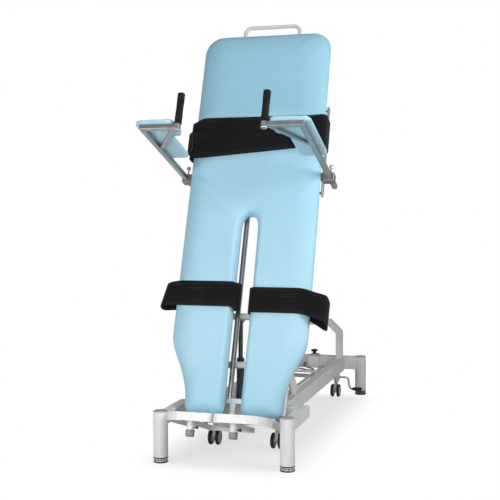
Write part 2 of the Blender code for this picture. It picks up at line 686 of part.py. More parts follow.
def build_castor_lift(floor):
    front, _ = build_castor_shaft(floor, "front", FRONT_SHAFT_BACK, FRONT_CASTOR_X)
    rear, shaft = build_castor_shaft(floor, "rear", REAR_SHAFT_BACK, REAR_CASTOR_X)
    build_castor(front, "front", FRONT_CASTOR_X)
    build_castor(rear, "rear", REAR_CASTOR_X)
    back, up = CRANK_REACH
    length = REAR_SHAFT_BACK - FRONT_SHAFT_BACK
    eye = LINK_DEPTH / 2
    low = CRANK_X + CRANK_WIDTH / 2 + RUNNING
    outline = flat_rounded([(-eye * 1.3, -eye, eye * 0.9), (length + eye * 1.3, -eye, eye * 0.9),
                            (length + eye * 1.3, eye, eye * 0.9), (-eye * 1.3, eye, eye * 0.9)])
    high = low + CRANK_WIDTH
    link = add_part("castor_link_bar", plate(outline, low, high, "x"), PAINT, front, (0, back, up))
    for y in (0, length):
        cut(link, bar(LINK_PIN_DIAMETER / 2 + CLEAR, (low - WELD, y, 0), (high + WELD, y, 0), 16))
    rod = PEDAL_ROD_DIAMETER / 2
    pedal = Vector((PEDAL_X, PEDAL_BEHIND_SHAFT, PEDAL_HEIGHT - SHAFT_HEIGHT))
    width, depth, height = PEDAL_SIZE
    inner = PEDAL_X - width / 2
    end = PEDAL_X + width / 2 - WELD
    route = [((SHAFT_HALF_LENGTH - WELD, 0, 0), 0), ((inner - 0.006, 0, 0), 0.016),
             ((inner - 0.006, pedal.y * 0.4, pedal.z * 0.75), 0.030),
             ((inner - 0.012, pedal.y, pedal.z), 0.010), ((end, pedal.y, pedal.z), 0)]
    join(shaft, tube(rounded(route, 4, closed=False), rod))
    tread = box((inner, PEDAL_X + width / 2), (pedal.y - depth / 2, pedal.y + depth / 2),
                (pedal.z - height / 2, pedal.z + height / 2), 0.004)
    pad = add_part("castor_pedal", tread, BLACK_RUBBER, rear)
    cut(pad, bar(rod + CLEAR, (inner - WELD, pedal.y, pedal.z), (end + CLEAR, pedal.y, pedal.z), 16))


# Couch

def couch_outline(margin):
    """Outline of the couch, a margin inside the pad's edge: head corners, narrowing legs and slot."""
    half = HALF_WIDTH - margin
    slot = SLOT_WIDTH / 2 + margin
    foot, head = along(margin), along(COUCH_LENGTH - margin)
    ankle = LEG_FOOT_HALF_WIDTH - margin
    knee = along(LEG_SWELL_LENGTH)
    corner = LEG_CORNER - margin / 2
    slot_head = along(SLOT_LENGTH) + margin
    right = []
    for step in range(9):
        angle = math.pi / 2 * (1 - step / 8)
        right.append((slot * math.cos(angle), slot_head - slot + slot * math.sin(angle)))
    lower = flat_rounded([(slot, slot_head - slot, 0), (slot, foot, corner), (ankle, foot, corner),
                          (ankle, foot + 2 * corner, 0)], 4, closed=False)
    right += [tuple(point) for point in lower[1:-1]]
    swell = bezier((ankle, foot + corner + 0.005), (ankle, knee * 0.55 + foot * 0.45),
                   (half, knee * 0.72 + foot * 0.28), (half, knee), 10)
    right += [tuple(point) for point in swell]
    head_corner = HEAD_CORNER - margin
    for step in range(8):
        angle = math.pi / 2 * step / 7
        right.append((half - head_corner + head_corner * math.cos(angle),
                      head - head_corner + head_corner * math.sin(angle)))
    left = [(-x, y) for x, y in reversed(right[1:])]
    return right + left


def build_couch_top(couch):
    add_part("couch_pad", cushion(couch_outline(0), PAD_LOW, PAD_TOP, LEG_CORNER * 0.93), BLUE_VINYL, couch)
    add_part("couch_board", plate(couch_outline(BOARD_MARGIN), BOARD_LOW, BOARD_TOP), PLYWOOD, couch)


def build_couch_frame(couch):
    half = FRAME_TUBE / 2
    pin = HINGE_PIN_DIAMETER / 2
    lug = flat_rounded([(-0.045, FRAME_LOW + half, 0), (-0.022, -0.022, 0.014), (0.022, -0.022, 0.014),
                        (0.045, FRAME_LOW + half, 0)])
    for name, side in SIDES:
        x = side * SIDE_TUBE_X
        rail = add_part(f"{name}_side_tube",
                        box((x - half, x + half), (along(SIDE_TUBE_FOOT), along(SIDE_TUBE_HEAD)),
                            (FRAME_LOW, FRAME_TOP), 0.003, 1), WHITE_PAINT, couch)
        join(rail, plate(lug, x - LUG_WIDTH / 2, x + LUG_WIDTH / 2, "x"))
        cut(rail, bar(pin + CLEAR, (x - LUG_WIDTH, 0, 0), (x + LUG_WIDTH, 0, 0)))
    reach = SIDE_TUBE_X + half
    tubes = (("lower", LOWER_TUBE_ALONG), ("middle", MIDDLE_TUBE_ALONG), ("head", HEAD_TUBE_ALONG))
    for name, place in tubes:
        y = along(place)
        cross = add_part(f"{name}_cross_tube", box((-reach, reach), (y - half, y + half),
                                                   (CROSS_TUBE_LOW, CROSS_TUBE_TOP), 0.003, 1), PAINT, couch)
        if name == "middle":
            add_rod_lug(cross)
    radius = SPINE_DIAMETER / 2
    foot = along(CARRIER_BAR_ALONG) + CARRIER_TUBE / 2 + CLEAR
    level = CROSS_TUBE_TOP + CLEAR + radius
    head = along(SPINE_HEAD)
    add_part("spine_tube", bar(radius, (SPINE_X, foot, level), (SPINE_X, head, level)), CHROME, couch)


def add_rod_lug(cross):
    """Two cheeks under the middle cross tube with the ends of the rod's pin on their outer faces."""
    y, z = ACTUATOR_HEAD_ALONG, -ACTUATOR_HEAD_DROP
    inner = ACTUATOR_EYE / 2 + RUNNING
    cheek = flat_rounded([(y - 0.014, CROSS_TUBE_LOW + WELD, 0), (y - 0.016, z - 0.016, 0.014),
                          (y + 0.016, z - 0.016, 0.014), (y + 0.014, CROSS_TUBE_LOW + WELD, 0)])
    for _, side in SIDES:
        near = ACTUATOR_X + side * inner
        far = near + side * CHEEK_THICKNESS
        join(cross, plate(cheek, near, far, "x"),
             bar(ACTUATOR_PIN_DIAMETER / 2, (near + side * 0.002, y, z), (far + side * 0.004, y, z), 16))


def build_handle(couch):
    radius = HANDLE_DIAMETER / 2
    level = BOARD_LOW - CLEAR - radius
    half = HANDLE_WIDTH / 2
    top = along(COUCH_LENGTH + HANDLE_REACH)
    foot = along(COUCH_LENGTH - HANDLE_OVERLAP)
    run = [((-half, foot, level), 0), ((-half, top, level), 0.035), ((half, top, level), 0.035),
           ((half, foot, level), 0)]
    add_part("head_handle", tube(rounded(run, 6, closed=False), radius, 4), PAINT, couch)


def build_rails(couch):
    level = PAD_TOP - RAIL_BELOW_FACE
    edge = HALF_WIDTH - BOARD_MARGIN + CLEAR
    for name, side in SIDES:
        x = side * RAIL_X
        strip = box((x - RAIL_THICKNESS / 2, x + RAIL_THICKNESS / 2), (along(RAIL_FOOT), along(RAIL_HEAD)),
                    (level - RAIL_DEPTH / 2, level + RAIL_DEPTH / 2), 0.0015, 1)
        rail = add_part(f"{name}_rail", strip, STEEL, couch)
        middle = (RAIL_FOOT + RAIL_HEAD) / 2
        for place in (RAIL_FOOT + 0.02, middle, RAIL_HEAD - 0.02):
            join(rail, bar(RAIL_BOSS / 2, (side * edge, along(place), level), (x, along(place), level), 12))


# Straps

def strap(name, couch, half_run, mirrored, low, high, droop=0.0):
    """Band that lies across the padded face and turns round the couch's edges."""
    run = half_run + ([(-x, z, radius) for x, z, radius in reversed(half_run)] if mirrored else [])
    path = [Vector(point) for point in flat_rounded(run, 4, closed=False)]
    outline = band_outline(path, STRAP_THICKNESS)
    solid = plate(outline, low(0), high, "y")
    start = HALF_WIDTH - 0.040
    for corner in solid.verts:
        if corner.co.y < high - 0.0001:
            corner.co.y = low(corner.co.x)
        out = max(abs(corner.co.x) - start, 0) / (HALF_WIDTH + STRAP_BULGE - start)
        corner.co.y -= droop * out * (2 - out)
    return add_part(name, solid, WEBBING, couch)


def build_straps(couch):
    half = STRAP_THICKNESS / 2
    over = PAD_TOP + SOFT_CLEAR + half
    under = BOARD_LOW - SOFT_CLEAR - half
    rail_low = PAD_TOP - RAIL_BELOW_FACE - RAIL_DEPTH / 2 - SOFT_CLEAR - half
    rail_side = RAIL_X + RAIL_THICKNESS / 2 + SOFT_CLEAR + half
    end = SIDE_TUBE_X + FRAME_TUBE / 2 + 0.012
    chest = [(end, under, 0), (HALF_WIDTH - 0.012, under, 0.006), (HALF_WIDTH + 0.003, rail_low, 0.006),
             (rail_side, rail_low, 0.006), (rail_side, over, 0.028)]
    slope = CHEST_STRAP_SKEW / (2 * rail_side)

    def chest_low(x):
        return along(CHEST_STRAP_LEFT + slope * (x + rail_side))

    strap("chest_strap", couch, chest, True, chest_low, along(CHEST_STRAP_HEAD))
    inner = SLOT_WIDTH / 2 - SOFT_CLEAR - half
    loose = inner - 0.021   # the straps stand away from the slot's walls
    swing = HALF_WIDTH + STRAP_BULGE
    settings = zip(SIDES, (LEFT_STRAP_ALONG, RIGHT_STRAP_ALONG), (0, STRAP_DROOP))
    for (name, side), place, droop in settings:
        leg = [(inner + 0.045, under, 0), (inner, under, 0.004), (loose, PAD_LOW + 0.014, 0.020),
               (loose, PAD_TOP - 0.020, 0.020), (inner + 0.002, over, 0.015),
               (HALF_WIDTH - 0.020, over, 0.040), (swing - 0.020, over + 0.010, 0.030),
               (swing, PAD_LOW, 0.035), (HALF_WIDTH - 0.010, under - 0.004, 0.020), (end, under, 0)]
        run = [(side * x, z, radius) for x, z, radius in leg]
        foot = along(place - LEG_STRAP_WIDTH / 2)
        strap(f"{name}_leg_strap", couch, run, False, lambda x, foot=foot: foot, foot + LEG_STRAP_WIDTH,
              droop)


# Footplates

def foot_pivot():
    """Front of the footplates' tops, about which they lean, in the couch's frame."""
    return Vector((0, along(-PLATE_DROP), PAD_TOP + PLATE_FRONT))


def leaned(solid):
    """Solid given in the footplates' frame, put into the couch's frame."""
    bmesh.ops.rotate(solid, cent=(0, 0, 0), matrix=Matrix.Rotation(FOOT_LEAN, 3, "X"), verts=solid.verts)
    bmesh.ops.translate(solid, vec=foot_pivot(), verts=solid.verts)
    return solid


def build_foot_carrier(couch):
    """Tee behind the slot with an arm under each footplate and a sleeve at the arm's end."""
    half = CARRIER_TUBE / 2
    reach = SIDE_TUBE_X - FRAME_TUBE / 2 - CLEAR
    bar_y = along(CARRIER_BAR_ALONG)
    level = FRAME_TOP - half - 0.001
    wide, deep = CARRIER_ARM
    spread = SLEEVE_SPACING / 2
    arm_y = -CARRIER_ARM_DROP - deep / 2
    lower = Matrix.Rotation(FOOT_LEAN, 3, "X") @ Vector((0, arm_y, -CARRIER_LOWER_BACK)) + foot_pivot()
    carrier = add_part("footrest_carrier", box((-reach, reach), (bar_y - half, bar_y + half),
                                               (level - half, level + half), 0.002, 1), WHITE_PAINT, couch)
    join(carrier, box((STEM_X - half, STEM_X + half), (lower.y, bar_y),
                      (level - half + 0.001, level + half - 0.001)),
         leaned(box((STEM_X - spread - half, STEM_X + spread + half), (arm_y - half, arm_y + half),
                    (-CARRIER_LOWER_BACK - half, -CARRIER_LOWER_BACK + half), 0.002, 1)))
    sleeve = SLEEVE_DIAMETER / 2
    bore = POST_PIN_DIAMETER / 2 + CLEAR
    for _, side in SIDES:
        x = STEM_X + side * SLEEVE_SPACING / 2
        join(carrier, leaned(box((x - wide / 2, x + wide / 2), (arm_y - deep / 2, arm_y + deep / 2),
                                 (-CARRIER_LOWER_BACK, -SLEEVE_BACK - sleeve * 0.3))),
             leaned(bar(sleeve, (x, -SLEEVE_END, -SLEEVE_BACK),
                        (x, 0.001 - CARRIER_ARM_DROP, -SLEEVE_BACK), 28)))
        cut(carrier, leaned(bar(bore, (x, SLEEVE_FLOOR - SLEEVE_END, -SLEEVE_BACK),
                                (x, 0, -SLEEVE_BACK), 28)))


def plate_outline(side, inset):
    """Outline of a footplate in the (x, z) plane, rounded at its front corners."""
    inner, outer = PLATE_GAP / 2 + inset, PLATE_SIDE - inset
    heel = -PLATE_DEPTH - (WELD if inset else 0)
    run = [(inner, heel, 0), (outer, heel, 0), (outer, -inset, PLATE_CORNER - inset),
           (inner, -inset, PLATE_CORNER / 3 - inset)]
    return flat_rounded([(side * x, z, radius) for x, z, radius in run], 6)


def build_footplates(couch):
    """Trays with a turned-down rim, each on a post that slides in its sleeve, and the sleeve's knob."""
    footrest = empty("footrest", couch, foot_pivot(), (FOOT_LEAN, 0, 0))
    tip = SLEEVE_FLOOR - SLEEVE_END + PLATE_LOWERING + 2 * CLEAR
    knob = [(0, 0.019), (0.005, 0.019), (0.0065, 0.017), (0.0065, 0.009), (0.0035, 0.007),
            (0.0035, 0), (0, 0)]
    for name, side in SIDES:
        sheet = plate(plate_outline(side, 0), -PLATE_RIM, 0, "y")
        tray = add_part(f"{name}_footplate", sheet, WHITE_PAINT, footrest)
        cut(tray, plate(plate_outline(side, PLATE_SHEET), -PLATE_RIM - WELD, -PLATE_SHEET, "y"))
        x = STEM_X + side * SLEEVE_SPACING / 2
        join(tray, bar(POST_PIN_DIAMETER / 2, (x, tip, -SLEEVE_BACK), (x, -PLATE_SHEET / 2, -SLEEVE_BACK)))
        seat = x + SLEEVE_DIAMETER / 2 + CLEAR
        add_turned(f"{name}_footplate_knob", knob, BLACK_PLASTIC, footrest,
                   (seat, -SLEEVE_END * 0.6, -SLEEVE_BACK), (0, math.pi / 2, 0), steps=18)


# Armrests

def build_armrest(couch, name, side):
    rail_z = PAD_TOP - RAIL_BELOW_FACE
    slide = empty(f"{name}_armrest_slide", couch, (side * RAIL_X, along(ARM_ALONG), rail_z))
    build_clamp(slide, name, side)
    arm = empty(f"{name}_arm_slide", slide, (side * (ARM_X - RAIL_X), 0, 0))
    face = PAD_TOP - rail_z
    build_arm_frame(arm, name, side, face)
    build_arm_pad(arm, name, side, face)


def build_clamp(slide, name, side):
    """Block that hooks round the rail and lets the arm tube slide through it, with its screw knob."""
    half = CLAMP_LENGTH / 2
    bore = ARM_TUBE / 2 + CLEAR
    pocket = RAIL_THICKNESS / 2 + CLEAR
    inner = HALF_WIDTH - RAIL_X + 0.0035
    outer = ARM_X - RAIL_X + bore + CLAMP_WALL
    arm_x = ARM_X - RAIL_X
    rail = RAIL_DEPTH / 2 + CLEAR
    neck = RAIL_BOSS / 2 + 0.001
    depth = CLAMP_DEPTH / 2
    block = box((side * inner, side * outer), (-half, half), (-depth, depth), 0.003, 1)
    clamp = add_part(f"{name}_rail_clamp", block, STEEL, slide)
    through = half + WELD
    cut(clamp, box((-pocket, pocket), (-through, through), (-rail, rail)),
        box((side * (inner - WELD), 0), (-through, through), (-neck, neck)),
        box((side * (arm_x - bore), side * (arm_x + bore)), (-bore, bore), (-depth - WELD, depth + WELD)))
    knob = [(0, 0.050), (0.006, 0.050), (0.010, 0.047), (0.011, 0.040), (0.010, 0.032), (0.0045, 0.028),
            (0.0045, 0), (0, 0)]
    add_turned(f"{name}_clamp_knob", knob, CHROME, slide, (side * arm_x, half + CLEAR, 0),
               (-math.pi / 2, 0, 0), steps=20)


def build_arm_frame(arm, name, side, face):
    """Square tube arm with a cross bar at its front, a diagonal brace and the grip's post."""
    half = ARM_TUBE / 2
    front = face + ARM_OUT
    inner = side * (ARM_REACH_IN - ARM_X)
    tube_arm = box((-half, half), (-half, half), (face - ARM_TAIL, front - half), 0.002, 1)
    frame = add_part(f"{name}_arm_frame", tube_arm, STEEL, arm)
    cross_low = front - ARM_TUBE
    join(frame, box((side * half, inner), (-half + 0.0005, half - 0.0005), (cross_low, front), 0.002, 1))
    start = Vector((inner * 0.84, cross_low + 0.004))
    stop = Vector((0, face + 0.335))
    brace = band_outline([start, stop], BRACE_WIDTH)
    post_x = side * (GRIP_X - ARM_X)
    post = GRIP_POST_DIAMETER / 2
    join(frame, plate(brace, -0.006, 0.006, "y"),
         bar(post, (post_x, -half - 0.006, front - half), (post_x, half + 0.045, front - half)))
    grip = GRIP_DIAMETER / 2
    length = GRIP_LENGTH
    hold = post + CLEAR
    depth = 0.045 + 2 * CLEAR - 0.004
    profile = [(0, length), (grip - 0.004, length), (grip, length - 0.004)]
    rib = (length - 0.016) / 4
    for index in range(1, 4):
        top = length - 0.008 - index * rib
        profile += [(grip, top + 0.003), (grip - 0.0015, top), (grip, top - 0.003)]
    profile += [(grip, 0.004), (grip - 0.003, 0), (hold, 0), (hold, depth), (0, depth)]
    add_turned(f"{name}_grip", profile, BLACK_RUBBER, arm, (post_x, half + 0.004, front - half),
               (-math.pi / 2, 0, 0), steps=16)


def build_arm_pad(arm, name, side, face):
    """L-shaped upholstered pad on the arm and its cross bar."""
    outer = ARM_TUBE / 2 + ARM_PAD_OVERHANG
    front = face + ARM_OUT + 0.006
    heel = face + ARM_PAD_HEEL
    crotch = outer - ARM_PAD_WIDTH
    tip = ARM_PAD_INNER - ARM_X
    fork = front - ARM_PAD_WIDTH - 0.020
    run = [(outer, heel, 0.025), (outer, front, 0.035), (tip, front, 0.030), (tip, fork, 0.030),
           (crotch, fork, 0.012), (crotch, heel, 0.025)]
    outline = flat_rounded([(side * x, z, radius) for x, z, radius in run], 4)
    low = ARM_TUBE / 2 + CLEAR
    solid = cushion([(x, -z) for x, z in outline], low, low + ARM_PAD_THICKNESS, 0.022)
    add_part(f"{name}_arm_pad", solid, BLUE_VINYL, arm, (0, 0, 0), (-math.pi / 2, 0, 0))


# Actuator

def build_actuator(floor):
    """Linear actuator from the front cross beam to the couch, drawn at its length in the built pose."""
    head_y = HINGE_BACK + ACTUATOR_HEAD_ALONG * math.cos(TILT) + ACTUATOR_HEAD_DROP * math.sin(TILT)
    head_z = HINGE_HEIGHT + ACTUATOR_HEAD_ALONG * math.sin(TILT) - ACTUATOR_HEAD_DROP * math.cos(TILT)
    reach = Vector((head_y - ACTUATOR_FOOT_BACK, head_z - ACTUATOR_FOOT_HEIGHT))
    lean = -math.atan2(reach.x, reach.y)
    swing = empty("actuator_swing", floor, (ACTUATOR_X, ACTUATOR_FOOT_BACK, ACTUATOR_FOOT_HEIGHT),
                  (lean, 0, 0))
    eye = ACTUATOR_EYE / 2
    pin = ACTUATOR_PIN_DIAMETER / 2
    tube_radius = ACTUATOR_TUBE_DIAMETER / 2
    rod = ACTUATOR_ROD_DIAMETER / 2
    body = add_part("actuator_body", box((-GEAR_WIDTH / 2, GEAR_WIDTH / 2), (-GEAR_DEPTH / 2, GEAR_DEPTH / 2),
                                         (GEAR_LOW, GEAR_TOP), GEAR_ROUNDING), DARK_GREY, swing)
    neck = GEAR_LOW + WELD
    foot = ACTUATOR_EYE_WIDTH / 2
    lug = flat_rounded([(-foot, neck, 0), (-foot, -foot, foot * 0.94),
                        (foot, -foot, foot * 0.94), (foot, neck, 0)])
    motor = (GEAR_LOW + GEAR_TOP) / 2
    join(body, plate(lug, -eye, eye, "x"),
         bar(tube_radius, (0, 0, GEAR_TOP - WELD), (0, 0, ACTUATOR_TUBE_END), 28),
         bar(MOTOR_DIAMETER / 2, (0, GEAR_DEPTH / 2 - WELD, motor), (0, MOTOR_END, motor), 24))
    cut(body, bar(pin + CLEAR, (-ACTUATOR_EYE, 0, 0), (ACTUATOR_EYE, 0, 0), 16),
        bar(rod + CLEAR, (0, 0, GEAR_TOP), (0, 0, ACTUATOR_TUBE_END + WELD), 24))
    length = reach.length
    shaft = add_part("actuator_rod", bar(rod, (0, 0, ACTUATOR_ROD_TAIL), (0, 0, length - 0.006)), STEEL,
                     swing)
    knuckle = flat_rounded([(-0.013, length - 0.022, 0.004), (0.013, length - 0.022, 0.004),
                            (0.013, length + 0.013, 0.012), (-0.013, length + 0.013, 0.012)])
    join(shaft, plate(knuckle, -eye, eye, "x"))
    build_actuator_bracket(floor)


def build_actuator_bracket(floor):
    """Clevis on the back of the front cross beam with the actuator's lower pin."""
    back = CROSS_BEAM_BACK + CLEAR
    low, high = BEAM_TOP - SIDE_BEAM_DEPTH + 0.004, BEAM_TOP - 0.004
    gap = ACTUATOR_EYE / 2 + SOFT_CLEAR
    bracket = add_part("actuator_bracket", box((ACTUATOR_X - 0.030, ACTUATOR_X + 0.030), (back, back + 0.006),
                                               (low, high), 0.001, 1), WHITE_PAINT, floor)
    y, z = ACTUATOR_FOOT_BACK, ACTUATOR_FOOT_HEIGHT
    root = back + 0.003
    cheek = flat_rounded([(root, high - 0.020, 0), (root, low + 0.002, 0), (y - 0.012, z - 0.018, 0.014),
                          (y + 0.018, z - 0.018, 0.016), (y + 0.018, z + 0.018, 0.016),
                          (y - 0.015, z + 0.022, 0.010)])
    for _, side in SIDES:
        near = ACTUATOR_X + side * gap
        join(bracket, plate(cheek, near, near + side * CHEEK_THICKNESS, "x"))
    reach = gap + CHEEK_THICKNESS + 0.003
    join(bracket, bar(ACTUATOR_PIN_DIAMETER / 2, (ACTUATOR_X - reach, y, z), (ACTUATOR_X + reach, y, z), 16))


def build_control(floor):
    """Control box on the left beam and the cable that runs back from it under the frame."""
    wall = -(LONG_BEAM_X - BEAM_WIDTH / 2 - CLEAR)
    top = BEAM_TOP - 0.008
    back = CONTROL_BOX_BACK + CONTROL_BOX_LENGTH / 2
    add_part("control_box", box((wall, wall + CONTROL_BOX_WIDTH), (back - CONTROL_BOX_LENGTH, back),
                                (top - CONTROL_BOX_DEPTH, top), 0.006), DARK_GREY, floor)
    radius = CABLE_DIAMETER / 2
    over_rod = TIE_ROD_HEIGHT + TIE_ROD_DIAMETER / 2 + CLEAR + radius
    stop = REAR_BEAM_FRONT - SOFT_CLEAR
    x, z = wall + CONTROL_BOX_WIDTH * 0.55, top - CONTROL_BOX_DEPTH / 2
    out = 2.5 * CABLE_DIAMETER
    first, last = TIE_ROD_BACK - back, stop - TIE_ROD_BACK
    drop = over_rod - z
    route = [(x, back + SOFT_CLEAR, z),
             (x, back + out / 2, z),
             (x, back + 1.5 * out, z),
             (x * 0.89, back + first * 0.24, z + drop * 0.06),
             (x * 0.64, back + first * 0.55, z + drop * 0.25),
             (x * 0.39, back + first * 0.82, z + drop * 0.80),
             (x * 0.26, TIE_ROD_BACK, over_rod),
             (x * 0.08, TIE_ROD_BACK + last * 0.22, z + drop * 0.54),
             (-x * 0.17, TIE_ROD_BACK + last * 0.43, z * 0.95),
             (-x * 0.35, TIE_ROD_BACK + last * 0.60, z * 0.89),
             (-x * 0.23, TIE_ROD_BACK + last * 0.735, z * 0.88),
             (x * 0.11, TIE_ROD_BACK + last * 0.785, z * 0.91),
             (x * 0.32, TIE_ROD_BACK + last * 0.862, z * 0.95),
             (x * 0.35, stop - out, z * 0.97),
             (x * 0.35, stop - out * 0.4, z * 0.97),
             (x * 0.35, stop, z * 0.97)]
    points = [Vector(point) for point in route]
    smooth = []
    for index in range(len(points) - 1):
        before = points[max(index - 1, 0)]
        here, there = points[index], points[index + 1]
        after = points[min(index + 2, len(points) - 1)]
        for step in range(2):
            t = step / 2
            smooth.append(0.5 * (2 * here + (there - before) * t
                                 + (2 * before - 5 * here + 4 * there - after) * t * t
                                 + (3 * here - before - 3 * there + after) * t ** 3))
    add_part("control_cable", tube(smooth + [points[-1]], radius, 2), BLACK_PLASTIC, floor)


def middle_of(parts):
    """Middle of the finished object from front to back."""
    graph = bpy.context.evaluated_depsgraph_get()
    depth = []
    for part in parts:
        if part.type == "MESH":
            solid = part.evaluated_get(graph)
            depth += [(solid.matrix_world @ corner.co).y for corner in solid.data.vertices]
    return (min(depth) + max(depth)) / 2


def main():
    floor = empty("floor_origin", None)
    build_front_frame(floor)
    build_rear_frame(floor)
    build_feet(floor)
    build_long_beams(floor)
    build_rest_arch(floor)
    build_hinge_posts(floor)
    build_castor_lift(floor)
    build_actuator(floor)
    build_control(floor)
    couch = empty("couch_tilt", floor, (0, HINGE_BACK, HINGE_HEIGHT), (TILT, 0, 0))
    build_couch_top(couch)
    build_couch_frame(couch)
    build_handle(couch)
    build_rails(couch)
    build_straps(couch)
    build_foot_carrier(couch)
    build_footplates(couch)
    for name, side in SIDES:
        build_armrest(couch, name, side)
    bpy.context.view_layer.update()
    floor.location.y = -middle_of(PARTS.objects)
    bpy.context.view_layer.update()


main()
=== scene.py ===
"""Looks of the electric tilt table: upholstery, straps, finishes, trim, studio and camera.

Couch pieces are shaped lying flat about the tilt hinge (x across, y towards the head, z out of the
padded face) and are then tipped up with the couch.
"""
import json
import math

import bmesh
import bpy
from mathutils import Matrix, Vector, noise


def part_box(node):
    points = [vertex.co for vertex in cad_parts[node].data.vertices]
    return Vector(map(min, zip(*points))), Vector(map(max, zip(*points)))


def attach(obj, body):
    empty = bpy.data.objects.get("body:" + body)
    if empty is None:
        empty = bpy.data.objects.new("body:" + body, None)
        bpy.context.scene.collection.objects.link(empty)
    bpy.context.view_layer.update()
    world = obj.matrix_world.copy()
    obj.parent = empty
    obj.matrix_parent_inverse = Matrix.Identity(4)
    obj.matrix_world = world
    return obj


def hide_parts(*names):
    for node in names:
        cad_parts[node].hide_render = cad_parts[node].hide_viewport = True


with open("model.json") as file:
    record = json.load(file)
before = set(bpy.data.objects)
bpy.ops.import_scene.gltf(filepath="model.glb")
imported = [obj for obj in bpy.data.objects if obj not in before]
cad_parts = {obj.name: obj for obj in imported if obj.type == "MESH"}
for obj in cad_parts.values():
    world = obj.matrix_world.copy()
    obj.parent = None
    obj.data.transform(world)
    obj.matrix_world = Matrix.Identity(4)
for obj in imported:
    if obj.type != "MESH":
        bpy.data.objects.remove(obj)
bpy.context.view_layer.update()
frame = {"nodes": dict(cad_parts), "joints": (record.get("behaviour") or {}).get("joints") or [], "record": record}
JOINTS = {joint["name"]: joint for joint in frame["joints"]}
SLOTS = {part["node"]: part["material_slot"] for part in frame["record"]["subparts"]}

TILT = math.radians(69.8)
HINGE = Vector(JOINTS["couch_tilt"]["pos_m"])
COUCH = Matrix.Translation(HINGE) @ Matrix.Rotation(TILT, 4, "X")
SIDES = (("left", -1), ("right", 1))
FRONT = HINGE.y - 0.369        # the front columns' axes

# The couch lying flat; places along it are given from the foot end of the pad
FOOT_END = -0.360              # foot end of the pad, from the hinge
PAD_LENGTH = 2.06
HALF_WIDTH = 0.340
PAD_LOW, PAD_TOP = 0.0706, 0.1456
SLOT_ARC = 0.973               # middle of the slot's round head
SLOT_EDGE = 0.043              # about where the bulging cover ends in the slot, from the couch's middle
PULL_FOLDS = (                 # side, place at the edge, bend, reach, depth, width at the edge
    (-1, 1.263, 1.07, 0.300, 0.0200, 0.0200),
    (1, 1.240, 2.6, 0.120, 0.0095, 0.0170))
ARMS = 1.252                   # the arms in their rail clamps
RAIL_LEVEL = 0.0626
RAIL_BOSSES = (1.170, 1.400, 1.630)
SIDE_TUBE = 0.235              # square side tubes, from the couch's middle
SPINE_X, SPINE_LEVEL = -0.041, 0.0385
SPINE_FOOT, SPINE_HEAD = 0.0948, 1.130

# Belts
BELT = 0.0060                  # thickness
OVER = PAD_TOP + 0.0035        # middle of a belt that lies on the padded face
UNDER = 0.0518                 # middle of a belt behind the board
BELT_END = 0.262               # where belts end behind the board, from the couch's middle
CHEST_SIDE = 0.3615            # side runs of the chest belt
CHEST_LOW = 1.335              # left end of its lower edge
CHEST_SKEW = 0.065             # how much higher the right end is
CHEST_HEAD = 1.570             # its upper edge
LEG_STRAPS = {"left": 0.603, "right": 0.576}
LEG_STRAP_WIDTH = 0.130


# Camera

def place_camera():
    yaw, pitch, roll = 0.2832, 0.0466, -0.004
    place = (1.4409, -4.4807 + FRONT, 1.2426)
    focal_length = 1005.84 / 500       # in widths of the picture
    ahead = Vector((-math.sin(yaw) * math.cos(pitch), math.cos(yaw) * math.cos(pitch), -math.sin(pitch)))
    lens = bpy.data.cameras.new("photo_camera")
    lens.sensor_width = 36
    lens.lens = focal_length * lens.sensor_width
    lens.clip_end = 200
    camera = bpy.data.objects.new("photo_camera", lens)
    bpy.context.scene.collection.objects.link(camera)
    facing = ahead.to_track_quat("-Z", "Y").to_matrix().to_4x4() @ Matrix.Rotation(roll, 4, "Z")
    camera.matrix_world = Matrix.Translation(place) @ facing
    bpy.context.scene.camera = camera


# Finishes

def tone(red, green, blue):
    """Scene colour of a colour given in 0 to 255 as it looks on a screen."""
    levels = [level / 255 for level in (red, green, blue)]
    return (*[v / 12.92 if v <= 0.04045 else ((v + 0.055) / 1.055) ** 2.4 for v in levels], 1)


class Value:
    """A shader socket that takes part in sums as a number does."""

    def __init__(self, owner, socket):
        self.owner = owner
        self.socket = socket

    def maths(self, operation, first, second=None):
        return self.owner.node("ShaderNodeMath", {"operation": operation}, {0: first, 1: second})

    def __add__(self, other):
        return self.maths("ADD", self, other)

    def __sub__(self, other):
        return self.maths("SUBTRACT", self, other)

    def __rsub__(self, other):
        return self.maths("SUBTRACT", other, self)

    def __mul__(self, other):
        return self.maths("MULTIPLY", self, other)

    def __mod__(self, other):
        return self.maths("FLOORED_MODULO", self, other)

    def __lt__(self, other):
        return self.maths("LESS_THAN", self, other)

    def __abs__(self):
        return self.maths("ABSOLUTE", self)

    __radd__ = __add__
    __rmul__ = __mul__

    def most(self, other):
        return self.maths("MAXIMUM", self, other)

    def wave(self, length):
        """Sine of this length in metres, from -1 to 1."""
        return self.maths("SINE", self * (2 * math.pi / length))

    def step(self, low, high):
        """0 below low, 1 above high, smooth between."""
        return self.owner.node("ShaderNodeMapRange", {"interpolation_type": "SMOOTHSTEP"},
                               {0: self, 1: low, 2: high, 3: 0.0, 4: 1.0})


class NodeTree:
    """Shader nodes that take numbers and values."""

    def __init__(self, tree):
        self.tree = tree

    def node(self, kind, settings=None, inputs=None, output=0):
        made = self.tree.nodes.new(kind)
        for key, value in (settings or {}).items():
            setattr(made, key, value)
        for socket, value in (inputs or {}).items():
            self.feed(made.inputs[socket], value)
        return Value(self, made.outputs[output])

    def feed(self, socket, value):
        if isinstance(value, Value):
            self.tree.links.new(value.socket, socket)
        elif value is not None:
            socket.default_value = value

    def ray(self, kind):
        """1 for rays of a kind, 0 for others."""
        return self.node("ShaderNodeLightPath", output=f"Is {kind} Ray")


